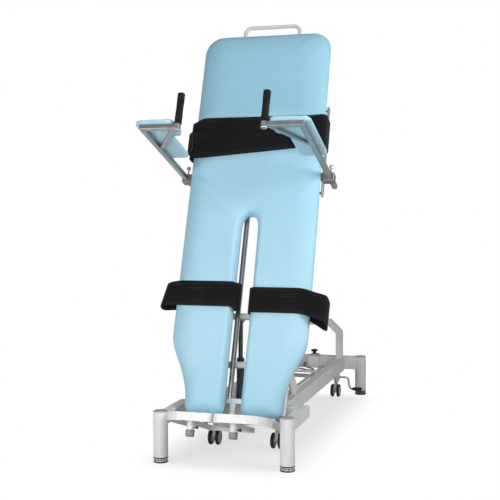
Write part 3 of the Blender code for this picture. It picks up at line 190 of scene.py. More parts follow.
class Finish(NodeTree):
    """A node material for one of the table's surfaces."""

    def __init__(self, name, **uniform):
        self.material = bpy.data.materials.new(name)
        self.material.use_nodes = True
        super().__init__(self.material.node_tree)
        self.shader = self.tree.nodes["Principled BSDF"]
        self.known = {}
        for socket, value in uniform.items():
            self.shader.inputs[socket.replace("_", " ")].default_value = value

    def colour(self, value):
        self.feed(self.shader.inputs["Base Color"], value)

    def rough(self, value):
        self.feed(self.shader.inputs["Roughness"], value)

    def metal(self, value):
        self.feed(self.shader.inputs["Metallic"], value)

    def place(self):
        if "place" not in self.known:
            self.known["place"] = self.node("ShaderNodeTexCoord", output=3)
        return self.known["place"]

    def couch_place(self):
        """Place on the couch as if it lay flat about its hinge."""
        if "couch" not in self.known:
            out = self.node("ShaderNodeVectorMath", {"operation": "SUBTRACT"},
                            {0: self.place(), 1: tuple(HINGE)})
            self.known["couch"] = self.node("ShaderNodeVectorRotate", {"rotation_type": "X_AXIS"},
                                            {"Vector": out, "Angle": -TILT})
        return self.known["couch"]

    def axis(self, index, place=None):
        return self.node("ShaderNodeSeparateXYZ", inputs={0: place or self.place()}, output=index)

    def scaled(self, scale, place):
        return self.node("ShaderNodeMapping", inputs={"Vector": place, "Scale": scale})

    def cloud(self, scale, detail=2.0, place=None, rough=0.5):
        return self.node("ShaderNodeTexNoise", inputs={"Vector": place or self.place(), "Scale": scale,
                                                       "Detail": detail, "Roughness": rough})

    def cells(self, scale):
        """Distance from the edges of small uneven cells."""
        return self.node("ShaderNodeTexVoronoi", {"feature": "DISTANCE_TO_EDGE"},
                         {"Vector": self.place(), "Scale": scale})

    def own(self, name):
        """Number that a piece carries on its own points."""
        return self.node("ShaderNodeAttribute", {"attribute_name": name}, output=2)

    def mix(self, factor, first, second):
        return self.node("ShaderNodeMix", {"data_type": "RGBA"}, {0: factor, 6: first, 7: second},
                         output=2)

    def soft_edges(self, radius):
        return self.node("ShaderNodeBevel", {"samples": 6}, {"Radius": radius})

    def relief(self, height, depth, strength, under=None):
        """Bump of a height from 0 to 1 that stands depth metres deep."""
        bump = {"Height": height, "Distance": depth, "Strength": strength, "Normal": under}
        self.feed(self.shader.inputs["Normal"], self.node("ShaderNodeBump", inputs=bump))


def vinyl(name, foot, leg, head):
    """Light blue vinyl with fine pores and painted shade: darker at the foot of the couch and at its head than on
    the legs.
    """
    finish = Finish(name, Specular_IOR_Level=0.42, Sheen_Weight=0.08, Sheen_Roughness=0.5)
    headward = finish.axis(1, finish.couch_place())
    shade = finish.cloud(2.2, 3.0) * 0.6 + finish.cloud(9.0, 2.0) * 0.4
    # painted shade: the foot and head tones are darker than the leg tone, standing in for how the light falls
    # along the couch
    base = finish.mix(headward.step(-0.1, 1.6), finish.mix(headward.step(-0.36, 0.02), foot, leg), head)
    finish.colour(finish.mix(shade.step(0.35, 0.75) * 0.16, base, tone(140, 196, 220)))
    pores = finish.cells(620.0).step(0.02, 0.16)
    folds = finish.cloud(240.0, 4.0)
    finish.rough(0.40 + shade * 0.10 + pores * 0.06)
    finish.relief(pores * 0.7 + folds * 0.5, 0.00022, 0.55)
    return finish


def belt_cloth():
    """Black padded belt: fine twill with a bound edge and two rows of stitches."""
    finish = Finish("black_belt_cloth", Specular_IOR_Level=0.16, Sheen_Weight=0.12, Sheen_Roughness=0.45)
    run, edge = finish.own("run"), finish.own("edge")
    across = finish.own("across")
    weave = (run + across * 0.7).wave(0.0026) * 0.5 + (across - run * 0.7).wave(0.0017) * 0.3
    bound = 1 - edge.step(0.009, 0.0105)
    rows = [1 - abs(edge - place).step(0.0005, 0.0009) for place in (0.007, 0.016)]
    stitch = rows[0].most(rows[1]) * ((run % 0.0042) < 0.0030)
    fuzz = finish.cloud(45.0, 4.0, rough=0.7)
    base = finish.mix(fuzz.step(0.3, 0.8), tone(8, 8, 10), tone(19, 18, 22))
    base = finish.mix(bound * 0.55, base, tone(12, 12, 14))
    finish.colour(finish.mix(stitch, base, tone(52, 52, 58)))
    finish.rough(0.72 + fuzz * 0.18 - bound * 0.14)
    finish.relief(weave * 0.35 + bound * 1.4 + stitch * 0.9 + fuzz * 0.6, 0.0005, 0.7)
    return finish


def powder_coat(name, light, dark, caps=False):
    """Satin powder coat with orange peel and faint marks; caps greys all above the columns' rims."""
    finish = Finish(name, Specular_IOR_Level=0.45)
    haze = finish.cloud(5.0, 3.0)
    marks = finish.cloud(38.0, 6.0, rough=0.75).step(0.63, 0.78)
    base = finish.mix(haze.step(0.3, 0.75), light, dark)
    low = 1 - finish.axis(2).step(0.02, 0.30)
    base = finish.mix(marks * (0.10 + low * 0.16), base, tone(150, 151, 152))
    peel = finish.cloud(420.0, 2.0)
    rough = 0.33 + haze * 0.08 + marks * 0.10
    if caps:
        plug = finish.axis(2).step(0.2461, 0.2464)
        base = finish.mix(plug, base, tone(172, 174, 176))
        rough = rough + plug * 0.12
    finish.colour(base)
    finish.rough(rough)
    finish.relief(peel, 0.00012, 0.5, finish.soft_edges(0.0032))
    return finish


def bright_chrome(name, light, dark, base_rough, streak):
    """Plated or brushed metal, streaked along the given direction."""
    finish = Finish(name, Metallic=1.0)
    lines = finish.cloud(30.0, 4.0, finish.scaled(streak, finish.couch_place()), 0.7)
    haze = finish.cloud(14.0, 3.0)
    finish.colour(finish.mix(lines.step(0.25, 0.75), light, dark))
    finish.rough(base_rough + lines * base_rough * 0.6 + haze.step(0.5, 0.8) * 0.05)
    finish.relief(lines, 0.00008, 0.4, finish.soft_edges(0.0025))
    return finish


def moulded(name, colour, worn, base_rough):
    """Moulded plastic or rubber with a fine grain."""
    finish = Finish(name, Specular_IOR_Level=0.4)
    haze = finish.cloud(22.0, 4.0, rough=0.65)
    finish.colour(finish.mix(haze.step(0.4, 0.8), colour, worn))
    grain = finish.cloud(520.0, 3.0)
    finish.rough(base_rough + haze * 0.14)
    finish.relief(grain, 0.0002, 0.5, finish.soft_edges(0.0025))
    return finish


def grip_rubber():
    """Black grip with a soft sheen and fine rings round it."""
    finish = Finish("black_grip_rubber", Specular_IOR_Level=0.22)
    rings = finish.axis(1, finish.couch_place()).wave(0.004)
    haze = finish.cloud(60.0, 3.0)
    finish.colour(finish.mix(haze.step(0.35, 0.8), tone(9, 9, 10), tone(20, 20, 22)))
    finish.rough(0.46 + haze * 0.12 + rings * 0.03)
    finish.relief(rings * 0.5 + finish.cloud(800.0) * 0.4, 0.0005, 0.6)
    return finish


def foot_bands(name, middle, plating):
    """Levelling foot: rubber ring, plated band with slots, thin dark ring."""
    finish = Finish(name, Specular_IOR_Level=0.4)
    x, y, z = finish.axis(0), finish.axis(1), finish.axis(2)
    turn = finish.node("ShaderNodeMath", {"operation": "ARCTAN2"}, {0: y - middle.y, 1: x - middle.x})
    ring = z.step(0.0068, 0.0074) * (1 - z.step(0.0216, 0.0222))
    pitch, level = math.pi / 7, 0.0145         # of the slots round the ring
    notch = 1 - abs((turn % pitch) - pitch / 2).step(0.10, 0.13)
    notch = notch * (1 - abs(z - level).step(0.0028, 0.0040))
    plated = ring * (1 - notch)
    haze = finish.cloud(60.0, 3.0)
    rubber = finish.mix(haze.step(0.4, 0.8), tone(22, 22, 23), tone(44, 44, 45))
    finish.colour(finish.mix(plated, rubber, plating))
    finish.metal(plated)
    finish.rough(0.62 - plated * 0.42 + haze * 0.06)
    finish.relief(finish.cloud(500.0) * 0.3 - notch, 0.0006, 0.6, finish.soft_edges(0.003))
    return finish


def birch_ply():
    """Couch board: pale veneer faces and plies on the edges."""
    finish = Finish("birch_ply", Specular_IOR_Level=0.3)
    place = finish.couch_place()
    out = finish.axis(2, place)
    grain = finish.cloud(9.0, 6.0, finish.scaled((14.0, 1.0, 1.0), place), 0.65)
    rings = (grain * 9.0 + finish.axis(0, place) * 24.0).wave(1.0) * 0.5 + 0.5
    face = finish.mix(rings.step(0.1, 0.95), tone(214, 186, 146), tone(190, 157, 114))
    plies = out.wave(0.0042).step(-0.25, 0.25)
    edge = finish.mix(plies, tone(206, 176, 134), tone(142, 106, 70))
    inner = out.step(0.0558, 0.0562) * (1 - out.step(0.0694, 0.0698))
    finish.colour(finish.mix(inner, face, edge))
    finish.rough(0.52 + grain * 0.14)
    finish.relief(grain + plies * inner * 0.6, 0.0003, 0.5)
    return finish


# Shaping

def show(name, solid, finish, body, stands_for=None, sharp=38):
    """Piece with its place in its mesh, riding on a body."""
    mesh = bpy.data.meshes.new(name)
    solid.to_mesh(mesh)
    solid.free()
    return show_mesh(name, mesh, finish, body, stands_for, sharp)


def show_mesh(name, mesh, finish, body, stands_for=None, sharp=38):
    mesh.materials.clear()
    mesh.materials.append(finish.material)
    mesh.shade_smooth()
    mesh.set_sharp_from_angle(angle=math.radians(sharp))
    piece = bpy.data.objects.new(name, mesh)
    bpy.context.scene.collection.objects.link(piece)
    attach(piece, body)
    if stands_for:
        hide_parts(stands_for)
    return piece


def node_solid(node):
    """Closed copy of a CAD node's mesh."""
    made = bmesh.new()
    made.from_mesh(frame["nodes"][node].data)
    bmesh.ops.remove_doubles(made, verts=made.verts, dist=0.00001)
    return made


def block(size, middle, radius):
    """Box with rounded edges."""
    made = bmesh.new()
    bmesh.ops.create_cube(made, size=1.0)
    bmesh.ops.scale(made, vec=size, verts=made.verts)
    bmesh.ops.bevel(made, geom=made.edges[:], offset=radius, offset_type="OFFSET", segments=2,
                    profile=0.5, affect="EDGES", clamp_overlap=True, material=-1)
    bmesh.ops.translate(made, vec=middle, verts=made.verts)
    return made


def turned(profile, steps):
    """Solid turned about z from (radius, height) points that start and end on the axis."""
    made = bmesh.new()
    points = [made.verts.new((radius, 0, height)) for radius, height in profile]
    line = [made.edges.new(pair) for pair in zip(points, points[1:])]
    bmesh.ops.spin(made, geom=points + line, cent=(0, 0, 0), axis=(0, 0, 1), angle=2 * math.pi,
                   steps=steps, use_merge=True)
    bmesh.ops.remove_doubles(made, verts=made.verts, dist=0.000001)
    bmesh.ops.recalc_face_normals(made, faces=made.faces)
    return made


def gather(solids, place=Matrix.Identity(4)):
    """Several solids as one, put in their place."""
    made = bmesh.new()
    for solid in solids:
        held = bpy.data.meshes.new("held")
        solid.to_mesh(held)
        solid.free()
        made.from_mesh(held)
        bpy.data.meshes.remove(held)
    made.transform(place)
    return made


def towards(direction, at):
    """Matrix that stands a z-turned solid along a direction."""
    return Matrix.Translation(at) @ Vector(direction).to_track_quat("Z", "Y").to_matrix().to_4x4()


def tube_along(points, radius, closed=False):
    """Mesh of a round tube through points."""
    path = bpy.data.curves.new("route", "CURVE")
    path.dimensions = "3D"
    path.bevel_depth = radius
    path.bevel_resolution = 3
    path.use_fill_caps = not closed
    line = path.splines.new("POLY")
    line.points.add(len(points) - 1)
    for held, point in zip(line.points, points):
        held.co = (*point, 1)
    line.use_cyclic_u = closed
    holder = bpy.data.objects.new("route", path)
    mesh = bpy.data.meshes.new_from_object(holder)
    bpy.data.objects.remove(holder, do_unlink=True)
    return mesh


# Cushions

def remeshed(solid, voxel):
    """Even quad mesh of a solid."""
    mesh = bpy.data.meshes.new("foam")
    solid.to_mesh(mesh)
    solid.free()
    holder = bpy.data.objects.new("foam", mesh)
    bpy.context.scene.collection.objects.link(holder)
    step = holder.modifiers.new("even", "REMESH")
    step.mode = "VOXEL"
    step.voxel_size = voxel
    graph = bpy.context.evaluated_depsgraph_get()
    made = bpy.data.meshes.new_from_object(holder.evaluated_get(graph))
    bpy.data.objects.remove(holder, do_unlink=True)
    return made


def swell(mesh, pressure, cap, held):
    """Blows a cover up from inside by cloth simulation; points that held() accepts stay put."""
    frames = 20
    cushion = bpy.data.objects.new("cover", mesh)
    bpy.context.scene.collection.objects.link(cushion)
    group = cushion.vertex_groups.new(name="held")
    group.add([point.index for point in mesh.vertices if held(point.co)], 1.0, "REPLACE")
    cloth = cushion.modifiers.new("cover", "CLOTH")
    cloth.settings.vertex_group_mass = "held"
    cloth.settings.use_pressure = True
    cloth.settings.uniform_pressure_force = pressure
    cloth.settings.effector_weights.gravity = 0
    cloth.settings.quality = 4
    cloth.point_cache.frame_start = 1
    cloth.point_cache.frame_end = frames
    rest = [point.co.copy() for point in mesh.vertices]
    scene = bpy.context.scene
    for moment in range(1, frames + 1):
        scene.frame_set(moment)
    graph = bpy.context.evaluated_depsgraph_get()
    blown = [point.co.copy() for point in cushion.evaluated_get(graph).data.vertices]
    for point, start, stop in zip(mesh.vertices, rest, blown):
        moved = stop - start
        if moved.length > cap:
            moved *= cap / moved.length
        point.co = start + moved
    bpy.data.objects.remove(cushion, do_unlink=True)
    scene.frame_set(1)


def bell(value, width):
    """1 at zero, falling off to both sides."""
    return math.exp(-(value / width) ** 2)


def smooth_ramp(value, low, high):
    """0 below low, 1 above high, smooth between."""
    part = min(max((value - low) / (high - low), 0), 1)
    return part * part * (3 - 2 * part)


def along(distance):
    """Couch y of a place given by its distance from the foot end of the pad."""
    return distance + FOOT_END


def chest_low(x):
    """Lower edge of the chest belt."""
    return along(CHEST_LOW + CHEST_SKEW * (x + CHEST_SIDE) / (2 * CHEST_SIDE))


def pressed(point):
    """How far the belts press the padded face in at a point, from 0 to 1."""
    x, y = point.x, point.y
    within, beyond = 0.012, 0.030      # reach of the slopes at the chest belt's edges
    low, head = chest_low(x), along(CHEST_HEAD)
    chest = smooth_ramp(y, low - beyond, low + within)
    chest *= 1 - smooth_ramp(y, head - within, head + beyond)
    from_leg_belt = abs(y - along(LEG_STRAPS["right" if x > 0 else "left"]))
    return max(chest, 1 - smooth_ramp(from_leg_belt, 0.052, 0.092))


def pull_folds(point):
    """Height of the dents that the clamps and the slot's head draw in the cover."""
    x, y = point.x, point.y
    fold = 0.0
    for side, start, bend, reach, depth, narrow in PULL_FOLDS:
        inward = max(HALF_WIDTH - side * x, 0.0)
        if inward < reach * 1.3:
            line = along(start) - 0.2 * inward - bend * inward * inward
            width = narrow + inward * 0.13
            fade = 1 - smooth_ramp(inward, reach * 0.10, reach * 1.3)
            fold -= depth * fade * bell(y - line, width)
            fold += 0.30 * depth * fade * bell(y - line + 2.1 * width, width * 1.2)
    up = y - along(SLOT_ARC)
    if up > -0.04:
        ripples = math.sin(math.atan2(up, x) * 17)
        fold += 0.0006 * bell(math.hypot(x, up) - 0.085, 0.030) * ripples
    return fold


def crown(point):
    """How far the foam stands up away from the cushion's edges."""
    height, slope, foot_slope = 0.0080, 0.10, 0.09
    inside = smooth_ramp(HALF_WIDTH - abs(point.x), 0.0, slope)
    inside *= smooth_ramp(along(PAD_LENGTH) - point.y, 0.0, slope)
    inside *= smooth_ramp(point.y - along(0.0), 0.0, foot_slope)
    return height * inside


def slot_fill(point):
    """How far the foam fills the cover out along the slot's edge, where no belt presses on it."""
    if point.y > along(1.12):
        return 0.0
    beyond = math.hypot(point.x, max(point.y - along(SLOT_ARC), 0.0)) - SLOT_EDGE
    return 0.0165 * bell(beyond - 0.011, 0.022) * (1 - pressed(point))


def side_bulge(at, normal):
    """Step by which the cover's sides stand out: less by the clamps, none towards the footplates."""
    high = bell(at.z - PAD_LOW - 0.041, 0.029)
    if abs(at.x) < 0.10 and at.y < along(1.10):
        return Vector((normal.x * 0.0200, min(normal.y, 0.0) * 0.0030, 0)) * high
    clamps = smooth_ramp(at.y, along(1.10), along(1.16))
    clamps *= 1 - smooth_ramp(at.y, along(1.33), along(1.39))
    clamps *= 1 - smooth_ramp(at.z, 0.089, 0.103)
    return Vector((normal.x, max(normal.y, 0.0), 0)) * 0.0175 * high * (1 - clamps)


def evened(mesh, level):
    """Takes small wrinkles out of a cover above a level."""
    cover = bmesh.new()
    cover.from_mesh(mesh)
    for _ in range(4):
        upper = [point for point in cover.verts if point.co.z > level]
        bmesh.ops.smooth_vert(cover, verts=upper, factor=0.5, use_axis_x=True, use_axis_y=True,
                              use_axis_z=True)
    cover.to_mesh(mesh)
    cover.free()
    mesh.update()


def refine(cushion):
    """Rounds a cushion's mesh with one step of subdivision."""
    finer = cushion.modifiers.new("finer", "SUBSURF")
    finer.levels = 1
    finer.render_levels = 1


def make_couch_cushion(finish):
    solid = node_solid("couch_pad")
    solid.transform(COUCH.inverted())
    for point in solid.verts:
        lift = max(point.co.z - PAD_LOW, 0)
        point.co.z = PAD_LOW + lift * 0.955
    mesh = remeshed(solid, voxel=0.0112)
    swell(mesh, pressure=4.0, cap=0.0055, held=lambda at: at.z < PAD_LOW + 0.012)
    evened(mesh, PAD_LOW + 0.020)
    bulge = [side_bulge(point.co, point.normal) for point in mesh.vertices]
    for point, out in zip(mesh.vertices, bulge):
        point.co += out
    for point in mesh.vertices:
        face = smooth_ramp(point.co.z, PAD_LOW + 0.045, PAD_TOP - 0.006)
        if face > 0:
            here = Vector((point.co.x * 5, point.co.y * 5, 0.3))
            lift = crown(point.co) + slot_fill(point.co) + pull_folds(point.co)
            point.co.z += face * (0.0008 * noise.noise(here) + lift)
            push = pressed(point.co) * face
            point.co.z += (min(point.co.z, PAD_TOP - 0.0025) - point.co.z) * push
        point.co.z = max(point.co.z, PAD_LOW)
        point.co.y = max(point.co.y, FOOT_END)
    mesh.transform(COUCH)
    cushion = show_mesh("couch_cushion", mesh, finish, "couch", "couch_pad", 80)
    refine(cushion)


def make_arm_cushion(name, finish):
    solid = node_solid(f"{name}_arm_pad")
    solid.transform(COUCH.inverted())
    low = min(point.co.y for point in solid.verts)
    high = max(point.co.y for point in solid.verts)
    for point in solid.verts:
        point.co.y = low + (point.co.y - low) * 0.93
    mesh = remeshed(solid, voxel=0.0045)
    swell(mesh, pressure=4.0, cap=0.0030, held=lambda at: at.y < low + 0.003)
    for point in mesh.vertices:
        point.co.y = max(point.co.y, low)
        here = Vector((point.co.x * 12, point.co.z * 12, 0.7))
        if point.co.y > low + 0.016:
            point.co.y += 0.0006 * noise.noise(here)
    level = low + (high - low) * 0.52
    welts = [seam_at(mesh, level), seam_at(mesh, low + 0.0042)]
    for point in mesh.vertices:
        nip = bell(point.co.y - level, 0.0035)
        if nip > 0.02:
            near = point.normal.copy()
            near.y = 0
            point.co -= near * 0.0019 * nip
    mesh.transform(COUCH)
    cushion = show_mesh(f"{name}_arm_cushion", mesh, finish, f"{name}_arm",
                        f"{name}_arm_pad", 80)
    refine(cushion)
    for place, welt in zip(("middle", "lower"), welts):
        cord = tube_along(welt, 0.0022, closed=True)
        cord.transform(COUCH)
        show_mesh(f"{name}_arm_{place}_welt", cord, finish, f"{name}_arm",
                  sharp=180)


def seam_at(mesh, level):
    """Closed line round a cushion at a level."""
    seam = bmesh.new()
    seam.from_mesh(mesh)
    bmesh.ops.bisect_plane(seam, geom=seam.verts[:] + seam.edges[:] + seam.faces[:],
                           plane_co=(0, level, 0), plane_no=(0, 1, 0), clear_outer=True,
                           clear_inner=True)
    points = walk_round(seam)
    seam.free()
    return points


def walk_round(loop):
    """Points of a closed run of edges, in order and evened out."""
    start = max(loop.verts, key=lambda point: point.co.z)
    seen, here = [start], start
    while True:
        ahead = [edge.other_vert(here) for edge in here.link_edges]
        ahead = [point for point in ahead if point not in seen]
        if not ahead:
            break
        here = ahead[0]
        seen.append(here)
    points = [point.co.copy() for point in seen]
    count = len(points)
    for _ in range(3):
        points = [(points[i - 1] + 2 * points[i] + points[(i + 1) % count]) / 4 for i in range(count)]
    return points


# Straps

def rounded_run(corners):
    """Points along a bent line of (x, z, bend radius) corners."""
    points, steps = [], 7
    for index, (x, z, radius) in enumerate(corners):
        here = Vector((x, z))
        if radius == 0 or index in (0, len(corners) - 1):
            points.append(here)
            continue
        before = Vector(corners[index - 1][:2]) - here
        after = Vector(corners[index + 1][:2]) - here
        half = before.angle(after) / 2
        cut = min(radius / math.tan(half), before.length * 0.49, after.length * 0.49)
        first, last = here + before.normalized() * cut, here + after.normalized() * cut
        for step in range(steps + 1):
            t = step / steps
            points.append(first * (1 - t) ** 2 + here * 2 * t * (1 - t) + last * t ** 2)
    return points


def spaced(path, spacing):
    """The same line with no two points further apart than spacing."""
    points = [path[0]]
    for before, here in zip(path, path[1:]):
        cuts = int((here - before).length / spacing) + 1
        points += [before.lerp(here, (step + 1) / cuts) for step in range(cuts)]
    return points


def band(corners, low, high, thick, shift=None, rows=14):
    """Flat band along corners between two edges, with its own run, across and edge measures."""
    made = bmesh.new()
    run = made.verts.layers.float.new("run")
    side = made.verts.layers.float.new("across")
    rim = made.verts.layers.float.new("edge")
    path = spaced(rounded_run(corners), 0.009)
    chain = [made.verts.new((point.x, 0, point.y)) for point in path]
    for before, here in zip(chain, chain[1:]):
        here[run] = before[run] + (here.co - before.co).length
        made.edges.new((before, here))
    up = bmesh.ops.extrude_edge_only(made, edges=made.edges[:])["geom"]
    for point in [item for item in up if isinstance(item, bmesh.types.BMVert)]:
        point[side] = 1.0
    rungs = [edge for edge in made.edges if edge.verts[0][side] != edge.verts[1][side]]
    bmesh.ops.subdivide_edges(made, edges=rungs, cuts=rows, use_grid_fill=True)
    for point in made.verts:
        bottom = low(point.co.x)
        part = point[side]
        point.co.y = bottom + (high(point.co.x) - bottom) * part
        width = high(point.co.x) - bottom
        point[side] = part * width
        point[rim] = min(part, 1 - part) * width
    if shift:
        for point in made.verts:
            point.co += shift(point.co.copy(), point[side])
    made.normal_update()
    front = max(made.faces, key=lambda face: abs(face.normal.z) + face.calc_center_median().z)
    if front.normal.z < 0:
        bmesh.ops.reverse_faces(made, faces=made.faces[:])
        made.normal_update()
    for point in made.verts:
        point.co += point.normal * thick / 2
    bmesh.ops.solidify(made, geom=made.faces[:], thickness=thick)
    bmesh.ops.recalc_face_normals(made, faces=made.faces)
    made.transform(COUCH)
    return made


def show_band(name, solid, finish, stands_for=None, rounding=0.0022):
    piece = show(name, solid, finish, "couch", stands_for, 75)
    edges = piece.modifiers.new("edges", "BEVEL")
    edges.width = rounding
    edges.segments = 3
    edges.limit_method = "ANGLE"
    edges.angle_limit = math.radians(50)
    return piece


def belt_creases(x, y, size):
    """Soft lengthwise folds in a belt, outwards only."""
    waves = noise.noise(Vector((x * 5, y * 22, 1.3))) + 0.5 * noise.noise(Vector((x * 12, y * 40, 4.1)))
    return size * max(waves, 0)


def make_chest_belt(cloth, plastic):
    tuck, rail_in, rail_back, fold = 0.328, 0.343, 0.0441, 0.006       # the ends' way round the rails
    left_side = 0.366
    right = [(BELT_END, UNDER, 0), (tuck, UNDER, fold), (rail_in, rail_back, fold),
             (CHEST_SIDE, rail_back, fold), (CHEST_SIDE, OVER, 0.032)]
    left = [(-left_side, OVER, 0.050), (-left_side, 0.094, 0.030), (-CHEST_SIDE, 0.080, 0.010),
            (-CHEST_SIDE, rail_back, fold), (-rail_in, rail_back, fold), (-tuck, UNDER, fold),
            (-BELT_END, UNDER, 0)]
    head = along(CHEST_HEAD)

    def shaped(at, across):
        part = across / (head - chest_low(at.x))
        low_end = 1 - smooth_ramp(at.x, -left_side, -0.290)
        high_end = smooth_ramp(at.x, 0.270, 0.365) * smooth_ramp(at.z, 0.06, 0.12)
        lean = low_end * (0.006 - 0.036 * part * part) + 0.006 * high_end * part
        if at.z < OVER - 0.004:
            return Vector((0, lean, 0))
        rim = smooth_ramp(min(part, 1 - part), 0.0, 0.10)
        return Vector((0, lean, belt_creases(at.x, at.y, 0.0022) * rim))

    belt = band(right + left, chest_low, lambda x: head, BELT, shaped)
    show_band("chest_belt", belt, cloth, "chest_strap")
    over, tail_width = OVER + 0.0052, 0.112

    def tail_low(x):
        return along(1.366 + 0.012 * math.sin(x * 30))

    tail = [(-0.262, over - 0.0012, 0), (-0.314, over, 0.020), (-0.350, over + 0.007, 0.030),
            (-0.386, 0.126, 0.026), (-0.382, 0.094, 0.012), (-0.3690, 0.088, 0)]
    loop = band(tail, tail_low, lambda x: tail_low(x) + tail_width, 0.0034, rows=10)
    show_band("chest_belt_loop", loop, cloth, rounding=0.0014)
    at = Matrix.Translation((-0.3620, along(1.426), 0.1525)) @ Matrix.Rotation(math.radians(-38), 4, "Y")
    ladder("chest_belt_ladder", at, plastic)


def ladder(name, at, plastic):
    """Ladder-lock buckle: a frame with bars across the belt's loop."""
    solids = [block((0.040, 0.006, 0.006), (0, end * 0.048, 0), 0.0016) for end in (-1, 1)]
    for place in (-0.0175, -0.003, 0.0175):
        solids.append(block((0.0055, 0.096, 0.0050), (place, 0, 0.0004), 0.0016))
    show(name, gather(solids, COUCH @ at), plastic, "couch")


def make_leg_strap(name, side, cloth):
    """Padded belt round one leg: snug on the padded face, loose beside the couch and in the slot."""
    inner, swing = 0.0565, 0.443       # where it turns into the slot, and its reach beside the couch
    if name == "left":
        loose, droop, hang, taper, start = 0.019, 0.004, 0.010, 0.030, HALF_WIDTH - 0.030
    else:
        loose, droop, hang, taper, start = 0.0355, 0.034, 0.046, -0.004, HALF_WIDTH - 0.060
    leg = [(inner + 0.045, UNDER, 0), (inner, UNDER, 0.004), (loose, PAD_LOW + 0.014, 0.020),
           (loose, PAD_TOP - 0.020, 0.020), (inner + 0.002, OVER, 0.022),
           (HALF_WIDTH - 0.020, OVER, 0.055), (swing - 0.020, OVER + 0.006, 0.040),
           (swing, PAD_LOW, 0.040), (HALF_WIDTH - 0.010, UNDER - 0.004, 0.020), (BELT_END, UNDER, 0)]

    def shaped(at, across):
        part = across / LEG_STRAP_WIDTH
        out = max(abs(at.x) - start, 0) / (swing - start)
        back = 1 - smooth_ramp(at.z, UNDER + 0.004, PAD_TOP)
        drop = out * out * (droop * (3 - 2 * out) + hang * back)
        if abs(at.x) < inner and name == "left":
            drop += 0.016 * smooth_ramp(inner - abs(at.x), 0.0, 0.035) * (1.2 - part)
        lift = 0.0
        if at.z > OVER - 0.004 and abs(at.x) > 0.075:
            lift = belt_creases(at.x, at.y, 0.0030) * smooth_ramp(min(part, 1 - part), 0.0, 0.15)
        if name == "left":
            drop += 0.020 * out * out * part
        return Vector((-side * out * taper * part, -drop, lift))

    low = along(LEG_STRAPS[name] - LEG_STRAP_WIDTH / 2)
    run = [(side * x, z, radius) for x, z, radius in leg]
    belt = band(run, lambda x: low, lambda x: low + LEG_STRAP_WIDTH, BELT, shaped)
    strap = show_band(f"{name}_leg_belt", belt, cloth, f"{name}_leg_strap")
    over = OVER + BELT / 2 + 0.0008
    middle = along(LEG_STRAPS[name])
    tab = [(side * 0.205, over, 0), (side * 0.286, over, 0)]
    flap = band(tab, lambda x: middle - 0.046, lambda x: middle + 0.034, 0.0022, rows=6)
    show_band(f"{name}_leg_tab", flap, cloth, rounding=0.0008)
    for number, place in enumerate((0.168, 0.186, 0.222)):
        tack = [(side * place, over + 0.0012, 0), (side * (place + 0.0035), over + 0.0012, 0)]
        seam = band(tack, lambda x: middle - 0.030, lambda x: middle + 0.034, 0.0020, rows=3)
        show_band(f"{name}_leg_tack_{number + 1}", seam, cloth, rounding=0.0006)


# Grips and small hardware

def grooves(radius, first, count):
    """Profile of shallow grooves round a grip, from the first one down."""
    points = []
    for index in range(count):
        top = first - index * 0.0036
        points += [(radius, top), (radius - 0.0010, top - 0.0009), (radius - 0.0010, top - 0.0018),
                   (radius, top - 0.0027)]
    return points


def make_grip(name, side, rubber, chrome):
    low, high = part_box(f"{name}_grip")
    start = COUCH.inverted() @ ((low + high) / 2)
    length, radius, bore, bore_end = 0.156, 0.0178, 0.0113, 0.041
    profile = [(0, length), (radius - 0.006, length), (radius - 0.002, length - 0.0012),
               (radius, length - 0.005)]
    profile += grooves(radius, length - 0.010, 9)
    profile += [(radius - 0.0004, length - 0.060), (radius - 0.0010, 0.085), (radius - 0.0004, 0.050)]
    profile += grooves(radius, 0.040, 7)
    profile += [(radius, 0.006), (radius + 0.0016, 0.004), (radius + 0.0016, 0.0012),
                (radius - 0.001, 0), (bore, 0), (bore, bore_end), (0, bore_end)]
    solid = turned(profile, 40)
    at = Vector((side * 0.211, start.y - length / 2, start.z))
    solid.transform(COUCH @ towards((0, 1, 0), at))
    show(f"{name}_ribbed_grip", solid, rubber, f"{name}_arm", f"{name}_grip", 50)
    collar = turned([(0, 0.0338), (0.0135, 0.0338), (0.0150, 0.0322), (0.0150, 0.0016), (0.0135, 0),
                     (0, 0)], 40)
    collar.transform(COUCH @ towards((0, 1, 0), at - Vector((0, 0.0345, 0))))
    show(f"{name}_grip_collar", collar, chrome, f"{name}_arm")


def make_spine_tube(chrome):
    """Plated tube behind the slot, with rounded ends."""
    foot, radius, rim = along(SPINE_FOOT), 0.0135, 0.002
    length = along(SPINE_HEAD) - foot
    solid = turned([(0, length), (radius - rim, length), (radius, length - rim), (radius, rim),
                    (radius - rim, 0), (0, 0)], 48)
    solid.transform(COUCH @ towards((0, 1, 0), Vector((SPINE_X, foot, SPINE_LEVEL))))
    show("plated_spine_tube", solid, chrome, "couch", "spine_tube")


